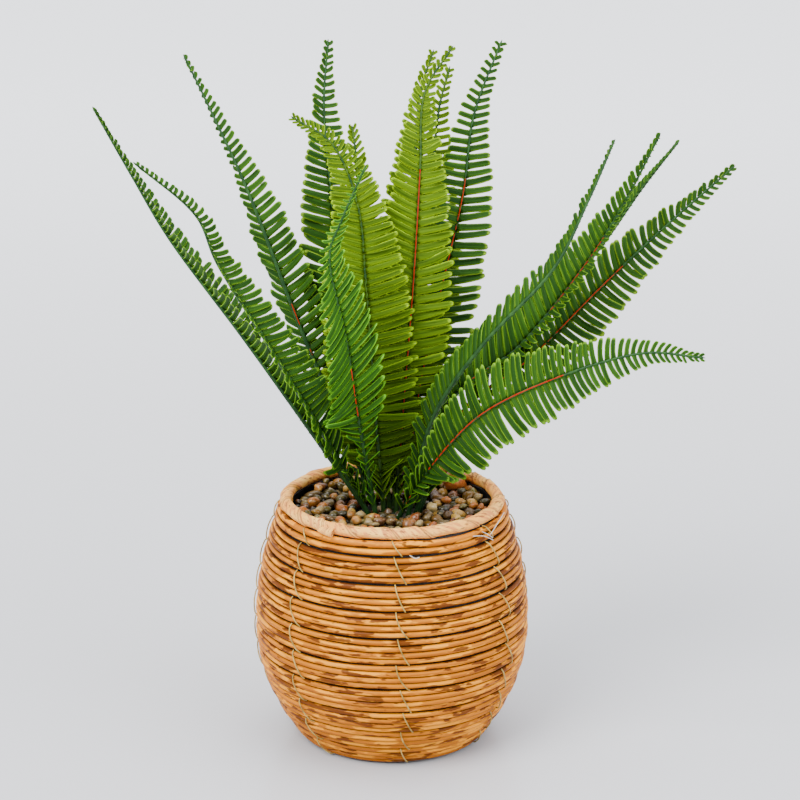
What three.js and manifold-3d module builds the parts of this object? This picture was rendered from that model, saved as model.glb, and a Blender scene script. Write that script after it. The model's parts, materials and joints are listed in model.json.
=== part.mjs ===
// Potted fern: sixteen moulded fronds in a gravel-topped basket pot of stitched cane.
// Millimetres, +Z up. The origin is the middle of the pot's foot, on the surface it stands on.
// -Y is the front, +X the right-hand side seen from the front.

import * as THREE from 'three';
import { mergeVertices } from 'three/addons/utils/BufferGeometryUtils.js';
import Module from 'manifold-3d';

// Pot: outer profile over the crests of the cane.
const FOOT_RADIUS = 47;
const BELLY_RADIUS = 70;
const BELLY_HEIGHT = 62;
const SHOULDER_RADIUS = 57.5;
const SHOULDER_HEIGHT = 122;
const LOWER_FULLNESS = 2.2;
const UPPER_FULLNESS = 2;
const FACETS = 24;

// Cane courses: nine of four rods and a top one of two.
const FULL_COURSES = 9;
const RODS_PER_COURSE = 4;
const RODS_IN_TOP_COURSE = 2;
const ROD_VALLEY = 1.3;
const COURSE_ROUNDING = 0.7;
const COURSE_THICKNESS = 3.4;
const COURSE_GAP = 0.5;
const SEAT = 0.3;

// Rim hoop, bound with husk strip.
const RIM_OUTER_RADIUS = 56.5;
const RIM_BAR_RADIUS = 3.1;
const RIM_HEIGHT = 125;
const RIM_SIDES = 7;

// Stitches of thin wire, one line of them at each angle from the front, in degrees.
const STITCH_ANGLES = [-90, -44, 5, 56, 100, 146, 190, 230];
const STITCH_SLANT = 3.6;
const WIRE_RADIUS = 0.45;

// What stands inside: foot disc, liner cup, filler block and gravel.
const FOOT_DISC_THICKNESS = 4;
const LINER_WALL = 1.2;
const LINER_TOP = 121.4;
const FILLER_TOP = 109.5;
const FILLER_BOSS_RADIUS = 18;
const FILLER_BOSS_TOP = 116.5;
const GRAVEL_TOP = 116;
const GRAVEL_RADIUS = 50.5;
const GRAVEL_MOUND = 4;
const PEBBLE_SIZE = 7.2;
const PEBBLE_COUNT = 56;
const GOLDEN_ANGLE = Math.PI * (3 - Math.sqrt(5));

// Fronds: a ribbed blade cut into leaflets down to the rib.
const STEM_FOOT = 92;
const STEM_TOP = 118;
const LEAFLET_PITCH = 13;
const LEAFLET_LENGTH = 21.5;
const LEAFLET_WIDTH = 0.74;
const BLADE_THICKNESS = 0.7;
const RIB_WIDTH = [1.5, 0.7];
const RIB_HEIGHT = [1.5, 0.7];
const BARE_STEM = 8;
const TIP_POINT = 1.5;
const CLEARANCE = 2.2;
const OWN_CLEARANCE = 1.2;
const JOINED_SHARE = 0.42;
const SAME_CORNER = 0.0001;
const SAMPLE_STEP = 1.5;
const LOWEST_LEAFLET = 129;

const GREEN_DARK = 0x2f5d2c;
const GREEN_MID = 0x3f7a35;
const GREEN_BRIGHT = 0x5c9c33;
const GREEN_YELLOW = 0x88ab3b;

// Each frond: where its stem stands, the points its rib runs through, the way its upper
// side faces at the foot and at the tip, and how far each of its two rows of leaflets is
// raised from the blade and, where a row is combed back or forward, swept, in degrees.
const FRONDS = [
  {
    name: 'frond_01_far_left', tone: GREEN_MID, root: [-13, 2],
    path: [[-35, 8, 149], [-74, 18, 203], [-110, 26, 251], [-130, 30, 285], [-148, 32, 318]],
    face: [0.8, -0.05, 0.55], tipFace: [0.8, -0.15, 0.55], raised: [20, 20],
  },
  {
    name: 'frond_02_left', tone: GREEN_MID, root: [-12, -4],
    path: [[-29, -10, 153], [-57, -22, 206], [-83, -28, 252], [-94, -32, 279], [-121, -36, 304]],
    face: [0.35, -0.85, 0.35], tipFace: [0.8, -0.2, 0.6], raised: [55, 12],
    swept: [0, 30],
  },
  {
    name: 'frond_03_left_back', tone: GREEN_MID, root: [-9, 6],
    path: [[-22, 16, 151], [-46, 30, 205], [-72, 46, 271], [-92, 58, 313], [-105, 64, 339]],
    face: [0.2, -0.9, 0.3], tipFace: [0.3, -0.9, 0.3], raised: [-58, 5],
  },
  {
    name: 'frond_04_back', tone: GREEN_DARK, root: [-4, 11],
    path: [[-15, 26, 159], [-26, 46, 222], [-32, 62, 276], [-35, 76, 312], [-33, 88, 343]],
    face: [0, -0.95, 0.3], tipFace: [0.1, -0.95, 0.3], raised: [12, 12],
  },
  {
    name: 'frond_05_centre_left', tone: GREEN_YELLOW, root: [-4, -4],
    path: [[-8, 0, 166], [-13, 8, 235], [-17, 14, 273], [-29, 24, 301], [-49, 30, 314]],
    face: [0, -0.95, 0.2], tipFace: [0.1, -0.9, 0.4], raised: [10, 10],
  },
  {
    name: 'frond_06_centre_back', tone: GREEN_YELLOW, root: [-1, 5],
    path: [[-7, 12, 162], [-13, 24, 222], [-16, 32, 262], [-18, 40, 291], [-20, 46, 306]],
    face: [0, -0.95, 0.2], tipFace: [0, -0.95, 0.3], raised: [10, 10],
  },
  {
    name: 'frond_07_front', tone: GREEN_BRIGHT, root: [-8, -9],
    path: [[-15, -16, 163], [-22, -22, 214], [-30, -24, 254], [-24, -22, 274], [-13, -16, 298]],
    face: [-0.2, -0.95, 0.2], tipFace: [-0.3, -0.9, 0.3], raised: [0, 10],
    swept: [32, -26],
  },
  {
    name: 'frond_08_centre', tone: GREEN_YELLOW, root: [2, -1],
    path: [[6, 6, 175], [11, 20, 238], [14, 34, 287], [16, 48, 322], [30, 60, 344]],
    face: [0, -0.95, 0.2], tipFace: [0.1, -0.9, 0.4], raised: [8, 8],
  },
  {
    name: 'frond_09_centre_far', tone: GREEN_YELLOW, root: [2, 8],
    path: [[5, 24, 170], [9, 44, 228], [11, 60, 271], [14, 78, 315], [21, 86, 338]],
    face: [0, -0.95, 0.2], tipFace: [0, -0.9, 0.4], raised: [10, 10],
  },
  {
    name: 'frond_10_right_back', tone: GREEN_DARK, root: [7, 6],
    path: [[13, 20, 171], [23, 38, 215], [36, 58, 268], [42, 72, 308], [56, 86, 343]],
    face: [0, -0.95, 0.3], tipFace: [0, -0.9, 0.4], raised: [10, 10],
  },
  {
    name: 'frond_11_right_upright', tone: GREEN_MID, root: [8, -7],
    path: [[20, -14, 171], [44, -18, 210], [78, -14, 247], [95, -6, 279], [108, 4, 307]],
    face: [-0.5, -0.7, 0.5], tipFace: [-0.8, -0.2, 0.5], raised: [-10, 35],
  },
  {
    name: 'frond_12_right', tone: GREEN_MID, root: [12, -3],
    path: [[29, 2, 175], [64, 8, 203], [95, 12, 242], [114, 14, 273], [131, 14, 308]],
    face: [-0.2, -0.9, 0.4], tipFace: [-0.3, -0.9, 0.3], raised: [5, 58],
  },
  {
    name: 'frond_13_right_behind', tone: GREEN_MID, root: [10, 11],
    path: [[30, 26, 172], [66, 44, 201], [102, 54, 236], [128, 60, 272], [146, 64, 295]],
    face: [-0.5, -0.6, 0.6], tipFace: [-0.8, -0.1, 0.6], raised: [25, 25],
  },
  {
    name: 'frond_14_far_right', tone: GREEN_DARK, root: [14, 3],
    path: [[35, 16, 165], [70, 26, 191], [107, 32, 228], [138, 32, 259], [170, 30, 289]],
    face: [-0.1, -0.9, 0.5], tipFace: [-0.3, -0.8, 0.5], raised: [10, 10],
  },
  {
    name: 'frond_15_right_low', tone: GREEN_MID, root: [3, -11],
    path: [[18, -30, 150], [43, -48, 184], [80, -58, 206], [117, -64, 219], [146, -64, 217]],
    face: [-0.1, -0.85, 0.5], tipFace: [0, -0.85, 0.5], raised: [8, 8],
  },
  {
    name: 'frond_16_back_far', tone: GREEN_YELLOW, root: [1, 14],
    path: [[7, 36, 164], [15, 62, 216], [20, 82, 262], [24, 98, 303], [30, 108, 326]],
    face: [0, -0.95, 0.3], tipFace: [0, -0.85, 0.5], raised: [10, 10],
  },
];

const wasm = await Module();
wasm.setup();

function closedGeometry(points, triangles) {
  const geometry = new THREE.BufferGeometry();
  geometry.setAttribute('position', new THREE.Float32BufferAttribute(points.flat(), 3));
  geometry.setIndex(triangles.flat());
  return geometry;
}

function toSolid(geometry) {
  const bare = geometry.clone();
  bare.deleteAttribute('normal');
  bare.deleteAttribute('uv');
  const merged = mergeVertices(bare, 1e-4);
  const vertProperties = new Float32Array(merged.attributes.position.array);
  const triVerts = new Uint32Array(merged.index.array);
  return new wasm.Manifold(new wasm.Mesh({ numProp: 3, vertProperties, triVerts }));
}

function fromSolid(solid) {
  const mesh = solid.getMesh();
  const geometry = new THREE.BufferGeometry();
  geometry.setAttribute('position', new THREE.Float32BufferAttribute(mesh.vertProperties, 3));
  geometry.setIndex(Array.from(mesh.triVerts));
  return geometry;
}

function part(name, geometry, colour, roughness, metalness = 0) {
  const material = new THREE.MeshStandardMaterial({ color: colour, roughness, metalness });
  const mesh = new THREE.Mesh(geometry, material);
  mesh.name = name;
  return mesh;
}

// A turned solid about Z from [radius, height] points that run up its outer side.
function turned(profile) {
  const points = profile.map(([radius, height]) => new THREE.Vector2(radius, height));
  const geometry = new THREE.LatheGeometry(points, FACETS);
  geometry.rotateX(Math.PI / 2);
  return geometry;
}

function seededRandom(seed) {
  let state = seed;
  return () => {
    state = (state * 1664525 + 1013904223) % 4294967296;
    return state / 4294967296;
  };
}

// The pot's outer profile, measured along its own arc.
function potRadius(height) {
  if (height < BELLY_HEIGHT) {
    const drop = ((BELLY_HEIGHT - height) / BELLY_HEIGHT) ** LOWER_FULLNESS;
    return BELLY_RADIUS - (BELLY_RADIUS - FOOT_RADIUS) * drop;
  }
  const rise = ((height - BELLY_HEIGHT) / (SHOULDER_HEIGHT - BELLY_HEIGHT)) ** UPPER_FULLNESS;
  return BELLY_RADIUS - (BELLY_RADIUS - SHOULDER_RADIUS) * rise;
}

class PotProfile extends THREE.Curve {
  getPoint(t, target = new THREE.Vector2()) {
    const height = t * SHOULDER_HEIGHT;
    return target.set(potRadius(height), height);
  }
}
const potProfile = new PotProfile();
potProfile.arcLengthDivisions = 400;
const potArc = potProfile.getLength();
const rodPitch = potArc / (FULL_COURSES * RODS_PER_COURSE + RODS_IN_TOP_COURSE);

// The point on the profile at an arc length up from the foot, moved in by a depth.
function potPoint(arc, depth) {
  const u = THREE.MathUtils.clamp(arc / potArc, 0, 1);
  const point = potProfile.getPointAt(u);
  const tangent = potProfile.getTangentAt(u);
  return [point.x - tangent.y * depth, point.y + tangent.x * depth];
}

function courseSpan(index) {
  const rods = index < FULL_COURSES ? RODS_PER_COURSE : RODS_IN_TOP_COURSE;
  const start = index * RODS_PER_COURSE * rodPitch;
  return { rods, start, end: start + rods * rodPitch };
}

function courseGeometry(index) {
  const { rods, start, end } = courseSpan(index);
  const bottom = start + COURSE_GAP / 2;
  const pitch = (end - start - COURSE_GAP) / rods;
  const onCourse = (place, depth) => (
    potPoint(bottom + place * pitch, depth + COURSE_ROUNDING * (place / rods * 2 - 1) ** 2));
  const profile = [potPoint(bottom, COURSE_THICKNESS)];
  for (let rod = 0; rod < rods; rod += 1) {
    if (rod > 0) profile.push(onCourse(rod, ROD_VALLEY));
    profile.push(onCourse(rod + 0.5, 0));
  }
  profile.push(potPoint(end - COURSE_GAP / 2, COURSE_THICKNESS));
  profile.push(profile[0]);
  return turned(profile);
}

// The inside of the courses as a line that bends at each joint between them, moved in by a
// depth and cut off at a bottom and a top height.
function wallPoints(depth, bottom, top) {
  const line = [];
  for (let index = 0; index <= FULL_COURSES; index += 1) {
    line.push(potPoint(courseSpan(index).start, depth));
  }
  line.push(potPoint(potArc, depth));
  const at = (height) => {
    let upper = line.findIndex(([, place]) => place > height);
    if (upper < 1) upper = upper < 0 ? line.length - 1 : 1;
    const [radiusBelow, heightBelow] = line[upper - 1];
    const [radiusAbove, heightAbove] = line[upper];
    const share = (height - heightBelow) / (heightAbove - heightBelow);
    return [THREE.MathUtils.lerp(radiusBelow, radiusAbove, share), height];
  };
  const between = line.filter(([, height]) => height > bottom + 2 && height < top - 2);
  return [at(bottom), ...between, at(top)];
}

function footDiscGeometry() {
  const radius = FOOT_RADIUS - COURSE_THICKNESS - SEAT;
  return turned([
    [0, 0], [radius, 0], [radius, FOOT_DISC_THICKNESS], [0, FOOT_DISC_THICKNESS],
  ]);
}

function linerGeometry() {
  const bottom = FOOT_DISC_THICKNESS + SEAT;
  const depth = COURSE_THICKNESS + SEAT;
  const outside = wallPoints(depth, bottom, LINER_TOP);
  const inside = wallPoints(depth + LINER_WALL, bottom + LINER_WALL, LINER_TOP).reverse();
  return turned([[0, bottom], ...outside, ...inside, [0, bottom + LINER_WALL]]);
}

function fillerGeometry() {
  const depth = COURSE_THICKNESS + SEAT + LINER_WALL + SEAT;
  const bottom = FOOT_DISC_THICKNESS + SEAT + LINER_WALL + SEAT;
  const block = toSolid(turned([
    [0, bottom], ...wallPoints(depth, bottom, FILLER_TOP),
    [FILLER_BOSS_RADIUS, FILLER_TOP], [FILLER_BOSS_RADIUS, FILLER_BOSS_TOP], [0, FILLER_BOSS_TOP],
  ]));
  let bored = block;
  for (const { root } of FRONDS) {
    const depthOfHole = FILLER_BOSS_TOP + 1 - STEM_FOOT + SEAT;
    const bore = new THREE.CylinderGeometry(RIB_WIDTH[0] + 0.5, RIB_WIDTH[0] + 0.5, depthOfHole, 6);
    bore.rotateX(Math.PI / 2);
    bore.translate(root[0], root[1], FILLER_BOSS_TOP + 1 - depthOfHole / 2);
    bored = bored.subtract(toSolid(bore));
  }
  return fromSolid(bored);
}

function gravelGeometry() {
  const random = seededRandom(11);
  const depth = COURSE_THICKNESS + SEAT + LINER_WALL + SEAT;
  const inner = (FILLER_BOSS_RADIUS + SEAT) / Math.cos(Math.PI / FACETS);
  const bottom = FILLER_TOP + SEAT;
  let bed = toSolid(turned([
    [0, bottom], ...wallPoints(depth, bottom, GRAVEL_TOP), [0, GRAVEL_TOP + GRAVEL_MOUND],
  ]));
  const spread = (GRAVEL_RADIUS - PEBBLE_SIZE * 0.8) / Math.sqrt(PEBBLE_COUNT);
  for (let count = 0; count < PEBBLE_COUNT; count += 1) {
    const distance = spread * Math.sqrt(count + 0.5);
    if (distance < inner + 1) continue;
    const angle = count * GOLDEN_ANGLE;
    const size = PEBBLE_SIZE * (0.85 + 0.3 * random());
    const pebble = new THREE.IcosahedronGeometry(size, 0);
    pebble.scale(1.1, 0.9, 0.7);
    pebble.rotateX(random() * 0.6);
    pebble.rotateZ(random() * Math.PI * 2);
    const height = GRAVEL_TOP + GRAVEL_MOUND * (1 - distance / GRAVEL_RADIUS) + random();
    pebble.translate(distance * Math.cos(angle), distance * Math.sin(angle), height);
    bed = bed.add(toSolid(pebble));
  }
  const middle = new THREE.CylinderGeometry(inner, inner, 60, FACETS);
  middle.rotateX(Math.PI / 2);
  middle.translate(0, 0, GRAVEL_TOP);
  return fromSolid(bed.subtract(toSolid(middle)));
}

function rimGeometry() {
  const middle = RIM_OUTER_RADIUS - RIM_BAR_RADIUS;
  const profile = [];
  for (let side = 0; side <= RIM_SIDES; side += 1) {
    const turn = (side % RIM_SIDES) / RIM_SIDES * 2 * Math.PI - Math.PI / 2;
    const radius = middle + RIM_BAR_RADIUS * Math.cos(turn);
    profile.push([radius, RIM_HEIGHT + RIM_BAR_RADIUS * Math.sin(turn)]);
  }
  return turned(profile);
}

// A wire of three sides through a row of points, closed at both ends.
function wireGeometry(points, radius) {
  const vertices = [];
  const triangles = [];
  const last = points.length - 1;
  points.forEach((point, index) => {
    const before = points[Math.max(index - 1, 0)];
    const after = points[Math.min(index + 1, last)];
    const along = after.clone().sub(before).normalize();
    const out = new THREE.Vector3(point.x, point.y, 0).normalize();
    const side = new THREE.Vector3().crossVectors(along, out).normalize();
    const proud = new THREE.Vector3().crossVectors(side, along);
    for (let corner = 0; corner < 3; corner += 1) {
      const turn = corner / 3 * 2 * Math.PI;
      const offset = proud.clone().multiplyScalar(radius * Math.cos(turn));
      offset.addScaledVector(side, radius * Math.sin(turn));
      vertices.push(point.clone().add(offset).toArray());
    }
    if (index === last) return;
    const row = index * 3;
    for (let corner = 0; corner < 3; corner += 1) {
      const next = (corner + 1) % 3;
      triangles.push([row + corner, row + next, row + 3 + next]);
      triangles.push([row + corner, row + 3 + next, row + 3 + corner]);
    }
  });
  triangles.push([0, 2, 1], [last * 3, last * 3 + 1, last * 3 + 2]);
  return closedGeometry(vertices, triangles);
}

function stitchGeometry(angleFromFront) {
  const points = [];
  const proud = -(WIRE_RADIUS + SEAT);
  const place = (arc, degrees) => {
    const [radius, height] = potPoint(arc, proud);
    const angle = THREE.MathUtils.degToRad(angleFromFront + degrees - 90);
    return new THREE.Vector3(radius * Math.cos(angle), radius * Math.sin(angle), height);
  };
  for (let index = 0; index <= FULL_COURSES; index += 1) {
    const { start, end } = courseSpan(index);
    points.push(place(Math.max(start + 0.8, 1.2), STITCH_SLANT));
    points.push(place(end - 0.8, -STITCH_SLANT));
  }
  return wireGeometry(points, WIRE_RADIUS);
}

// Frond: stations up the stem and along the rib, each with its own frame.
function frondStations(frond) {
  const [rootX, rootY] = frond.root;
  const start = new THREE.Vector3(rootX, rootY, STEM_TOP);
  const points = [start, ...frond.path.map((point) => new THREE.Vector3(...point))];
  const curve = new THREE.CatmullRomCurve3(points, false, 'catmullrom', 0.5);
  const length = curve.getLength();
  const pairs = Math.round((length - BARE_STEM) / LEAFLET_PITCH);
  const face = new THREE.Vector3(...frond.face);
  const tipFace = new THREE.Vector3(...frond.tipFace);
  const stations = [];
  const station = (place, along, share) => {
    const up = face.clone().lerp(tipFace, share);
    up.addScaledVector(along, -up.dot(along)).normalize();
    const side = new THREE.Vector3().crossVectors(up, along);
    const width = THREE.MathUtils.lerp(RIB_WIDTH[0], RIB_WIDTH[1], share);
    const height = THREE.MathUtils.lerp(RIB_HEIGHT[0], RIB_HEIGHT[1], share);
    stations.push({ place, along, up, side, width, height, share });
  };
  const upright = new THREE.Vector3(0, 0, 1);
  station(new THREE.Vector3(rootX, rootY, STEM_FOOT), upright, 0);
  station(start, upright, 0);
  for (let index = 0; index <= pairs; index += 1) {
    const share = THREE.MathUtils.lerp(BARE_STEM / length, 1, index / pairs);
    station(curve.getPointAt(share), curve.getTangentAt(share), share);
  }
  return stations;
}

function leafletShape(share) {
  const opening = THREE.MathUtils.smoothstep(share, 0.05, 0.42);
  const narrowing = THREE.MathUtils.smoothstep(share, 0.4, 1.08);
  const length = LEAFLET_LENGTH * (0.36 + 0.64 * opening) * (1 - 0.9 * narrowing);
  const angle = 26 + 54 * opening - 34 * THREE.MathUtils.smoothstep(share, 0.6, 1);
  return { length, angle };
}

// The four corners of one leaflet's middle sheet between two stations, on one side.
function leafletSheet(from, to, hand, raised, swept, shorter) {
  const share = (from.share + to.share) / 2;
  const { length, angle: restingAngle } = leafletShape(share);
  const sweep = swept * THREE.MathUtils.smoothstep(share, 0.1, 0.3);
  const angle = THREE.MathUtils.degToRad(restingAngle + sweep);
  const base = from.place.clone().addScaledVector(from.side, hand * from.width);
  const end = to.place.clone().addScaledVector(to.side, hand * to.width);
  const lift = THREE.MathUtils.degToRad(raised);
  const out = from.along.clone().multiplyScalar(Math.cos(angle));
  out.addScaledVector(from.side, hand * Math.sin(angle) * Math.cos(lift));
  out.addScaledVector(from.up, Math.sin(angle) * Math.sin(lift)).normalize();
  const edge = end.clone().sub(base);
  const across = edge.clone().addScaledVector(out, -edge.dot(out));
  const half = across.length() * LEAFLET_WIDTH / 2;
  across.normalize();
  const middle = base.clone().add(end).multiplyScalar(0.5);
  const reach = length * shorter;
  const near = middle.clone().addScaledVector(out, reach * 0.92).addScaledVector(across, -half);
  const far = middle.clone().addScaledVector(out, reach).addScaledVector(across, half * 0.8);
  const up = new THREE.Vector3().crossVectors(across, out).multiplyScalar(hand).normalize();
  return { base, end, near, far, up };
}

// Points spread over a sheet, to tell whether two leaflets come too close. Near the rib a
// leaflet may touch the next one of its own frond; further out its points are marked free.
function sheetSamples({ base, end, near, far }) {
  const samples = [];
  const rows = Math.max(2, Math.ceil(base.distanceTo(near) / SAMPLE_STEP));
  const columns = Math.max(2, Math.ceil(base.distanceTo(end) / SAMPLE_STEP));
  for (let row = 1; row <= rows; row += 1) {
    const left = base.clone().lerp(near, row / rows);
    const right = end.clone().lerp(far, row / rows);
    for (let column = 0; column <= columns; column += 1) {
      const point = left.clone().lerp(right, column / columns);
      samples.push({ point, free: row / rows > JOINED_SHARE });
    }
  }
  return samples;
}

// Filled places in a grid of cells, each remembered with the frond that fills it.
class FilledPlaces {
  constructor() {
    this.cells = new Map();
  }

  key(x, y, z) {
    return `${x},${y},${z}`;
  }

  cell(value) {
    return Math.floor(value / CLEARANCE);
  }

  add({ point, free }, owner) {
    const key = this.key(this.cell(point.x), this.cell(point.y), this.cell(point.z));
    if (!this.cells.has(key)) this.cells.set(key, []);
    this.cells.get(key).push({ point, free, owner });
  }

  isClear({ point, free }, owner) {
    for (let dx = -1; dx <= 1; dx += 1) {
      for (let dy = -1; dy <= 1; dy += 1) {
        for (let dz = -1; dz <= 1; dz += 1) {
          const key = this.key(
            this.cell(point.x) + dx, this.cell(point.y) + dy, this.cell(point.z) + dz,
          );
          for (const filled of this.cells.get(key) ?? []) {
            const own = filled.owner === owner;
            const limit = own ? OWN_CLEARANCE : CLEARANCE;
            const counts = !own || (free && filled.free);
            if (counts && filled.point.distanceTo(point) < limit) return false;
          }
        }
      }
    }
    return point.z > LOWEST_LEAFLET || Math.hypot(point.x, point.y) > RIM_OUTER_RADIUS + 4;
  }
}

// The faces of one leaflet as a thin solid, each a triangle of corner points.
function leafletFaces(from, to, hand, sheet) {
  const [under, over] = [-1, 1].map((face) => {
    const half = face * BLADE_THICKNESS / 2;
    const [base, end] = [from, to].map(({ place, side, up, width }) => (
      place.clone().addScaledVector(side, hand * width).addScaledVector(up, half)));
    const [near, far] = [sheet.near, sheet.far].map((corner) => (
      corner.clone().addScaledVector(sheet.up, half)));
    return [base, near, far, end];
  });
  const faces = [under, over].flatMap(([base, near, far, end]) => [
    [base, near, far],
    [base, far, end],
  ]);
  for (let corner = 0; corner < 3; corner += 1) {
    const [a, b] = [under[corner], under[corner + 1]];
    const [c, d] = [over[corner + 1], over[corner]];
    faces.push([a, b, c], [a, c, d], [a, b, d], [b, c, d]);
  }
  return faces;
}

// True when an edge of one set of faces passes through a face of the other. An edge that
// starts or ends on a corner of the face doesn't count.
function pierces(faces, otherFaces) {
  const ray = new THREE.Ray();
  const hit = new THREE.Vector3();
  return faces.some((face) => face.some((start, index) => {
    const end = face[(index + 1) % 3];
    ray.set(start, end.clone().sub(start).normalize());
    return otherFaces.some((other) => {
      const joined = other.some((corner) => (
        Math.min(corner.distanceTo(start), corner.distanceTo(end)) < SAME_CORNER));
      return !joined && ray.intersectTriangle(...other, false, hit)
        && hit.distanceTo(start) < start.distanceTo(end) + SAME_CORNER;
    });
  }));
}

function boxed(faces) {
  return { faces, box: new THREE.Box3().setFromPoints(faces.flat()) };
}

// The faces round the rib between each pair of rings of corner points.
function ribSegments(rings) {
  return rings.slice(1).map((next, index) => boxed(rings[index].flatMap((corner, place) => {
    const other = (place + 1) % next.length;
    return [
      [corner, rings[index][other], next[other]],
      [corner, next[other], next[place]],
    ];
  })));
}

function crossesAny(leaflet, others) {
  return others.some(({ faces, box }) => (
    box.intersectsBox(leaflet.box)
    && (pierces(faces, leaflet.faces) || pierces(leaflet.faces, faces))));
}

// A leaflet that would cross another frond is bent clear, then shortened, then left off.
function clearLeaflet(from, to, hand, frond, filled, placed) {
  const row = hand > 0 ? 0 : 1;
  const swept = frond.swept ? frond.swept[row] : 0;
  for (const shorter of [1, 0.8, 0.6, 0.42]) {
    for (const bend of [0, 16, -16, 32, -32, 48]) {
      const sheet = leafletSheet(from, to, hand, frond.raised[row] + bend, swept, shorter);
      const samples = sheetSamples(sheet);
      const leaflet = boxed(leafletFaces(from, to, hand, sheet));
      const clear = samples.every((sample) => filled.isClear(sample, frond.name));
      if (clear && !crossesAny(leaflet, placed)) {
        samples.forEach((sample) => filled.add(sample, frond.name));
        placed.push(leaflet);
        return sheet;
      }
    }
  }
  return null;
}

function frondGeometry(frond, stations, filled) {
  const points = [];
  const triangles = [];
  const half = BLADE_THICKNESS / 2;
  const add = (point) => points.push(point.toArray()) - 1;
  // Round the rib: right under, right over, ridge, left over, left under, keel.
  const rings = stations.map(({ place, up, side, width, height }) => [
    place.clone().addScaledVector(side, width).addScaledVector(up, -half),
    place.clone().addScaledVector(side, width).addScaledVector(up, half),
    place.clone().addScaledVector(up, height),
    place.clone().addScaledVector(side, -width).addScaledVector(up, half),
    place.clone().addScaledVector(side, -width).addScaledVector(up, -half),
    place.clone().addScaledVector(up, -height),
  ].map(add));
  const quad = (a, b, c, d) => triangles.push([a, b, c], [a, c, d]);
  const leaflet = (p, q, qNext, pNext, sheet, hand) => {
    const offset = sheet.up.clone().multiplyScalar(half * hand);
    const nearQ = add(sheet.near.clone().add(offset));
    const farQ = add(sheet.far.clone().add(offset));
    const nearP = add(sheet.near.clone().sub(offset));
    const farP = add(sheet.far.clone().sub(offset));
    quad(p, q, nearQ, nearP);
    quad(q, qNext, farQ, nearQ);
    quad(qNext, pNext, farP, farQ);
    triangles.push([p, nearP, farP], [p, farP, pNext]);
    quad(nearQ, farQ, farP, nearP);
  };
  const placed = ribSegments(rings.map((ring) => (
    ring.map((corner) => new THREE.Vector3(...points[corner])))));
  for (let index = 0; index < rings.length - 1; index += 1) {
    const ring = rings[index];
    const next = rings[index + 1];
    for (let corner = 0; corner < 6; corner += 1) {
      const other = (corner + 1) % 6;
      const hand = { 0: 1, 3: -1 }[corner];
      const sheet = hand && index > 1 ? clearLeaflet(
        stations[index], stations[index + 1], hand, frond, filled, placed,
      ) : null;
      if (sheet) leaflet(ring[corner], ring[other], next[other], next[corner], sheet, hand);
      else quad(ring[corner], ring[other], next[other], next[corner]);
    }
  }
  const foot = rings[0];
  for (let corner = 1; corner < 5; corner += 1) {
    triangles.push([foot[0], foot[corner + 1], foot[corner]]);
  }
  const last = stations[stations.length - 1];
  const top = rings[rings.length - 1];
  const tip = add(last.place.clone().addScaledVector(last.along, TIP_POINT));
  for (let corner = 0; corner < 6; corner += 1) {
    triangles.push([top[corner], top[(corner + 1) % 6], tip]);
  }
  return closedGeometry(points, triangles);
}

function addFronds(group) {
  const filled = new FilledPlaces();
  const stations = FRONDS.map(frondStations);
  stations.forEach((line, index) => {
    for (let at = 1; at < line.length - 1; at += 1) {
      const steps = Math.ceil(line[at].place.distanceTo(line[at + 1].place) / SAMPLE_STEP);
      for (let step = 0; step < steps; step += 1) {
        const point = line[at].place.clone().lerp(line[at + 1].place, step / steps);
        filled.add({ point, free: false }, FRONDS[index].name);
      }
    }
  });
  FRONDS.forEach((frond, index) => {
    const geometry = frondGeometry(frond, stations[index], filled);
    group.add(part(frond.name, geometry, frond.tone, 0.55));
  });
}

function addPot(group) {
  group.add(part('foot_disc', footDiscGeometry(), 0x6b4a2b, 0.8));
  group.add(part('liner_cup', linerGeometry(), 0x1c1a18, 0.7));
  for (let index = 0; index <= FULL_COURSES; index += 1) {
    const name = `cane_course_${String(index + 1).padStart(2, '0')}`;
    group.add(part(name, courseGeometry(index), 0xc98a4b, 0.45));
  }
  group.add(part('rim_wrap', rimGeometry(), 0xd9b48c, 0.6));
  STITCH_ANGLES.forEach((angle, index) => {
    group.add(part(`stitch_wire_${index + 1}`, stitchGeometry(angle), 0xbfa468, 0.35, 0.9));
  });
}

const fern = new THREE.Group();
fern.name = 'potted_fern';
addPot(fern);
fern.add(part('filler_block', fillerGeometry(), 0x2b2a26, 0.95));
fern.add(part('gravel_bed', gravelGeometry(), 0x9a7b58, 0.5));
addFronds(fern);

export default fern;
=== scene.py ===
"""Looks of the potted fern: moulded fronds in a gravel-topped basket pot of stitched cane.

Metres, +Z up. The origin is the middle of the pot's foot, -Y is the front.
"""

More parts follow.
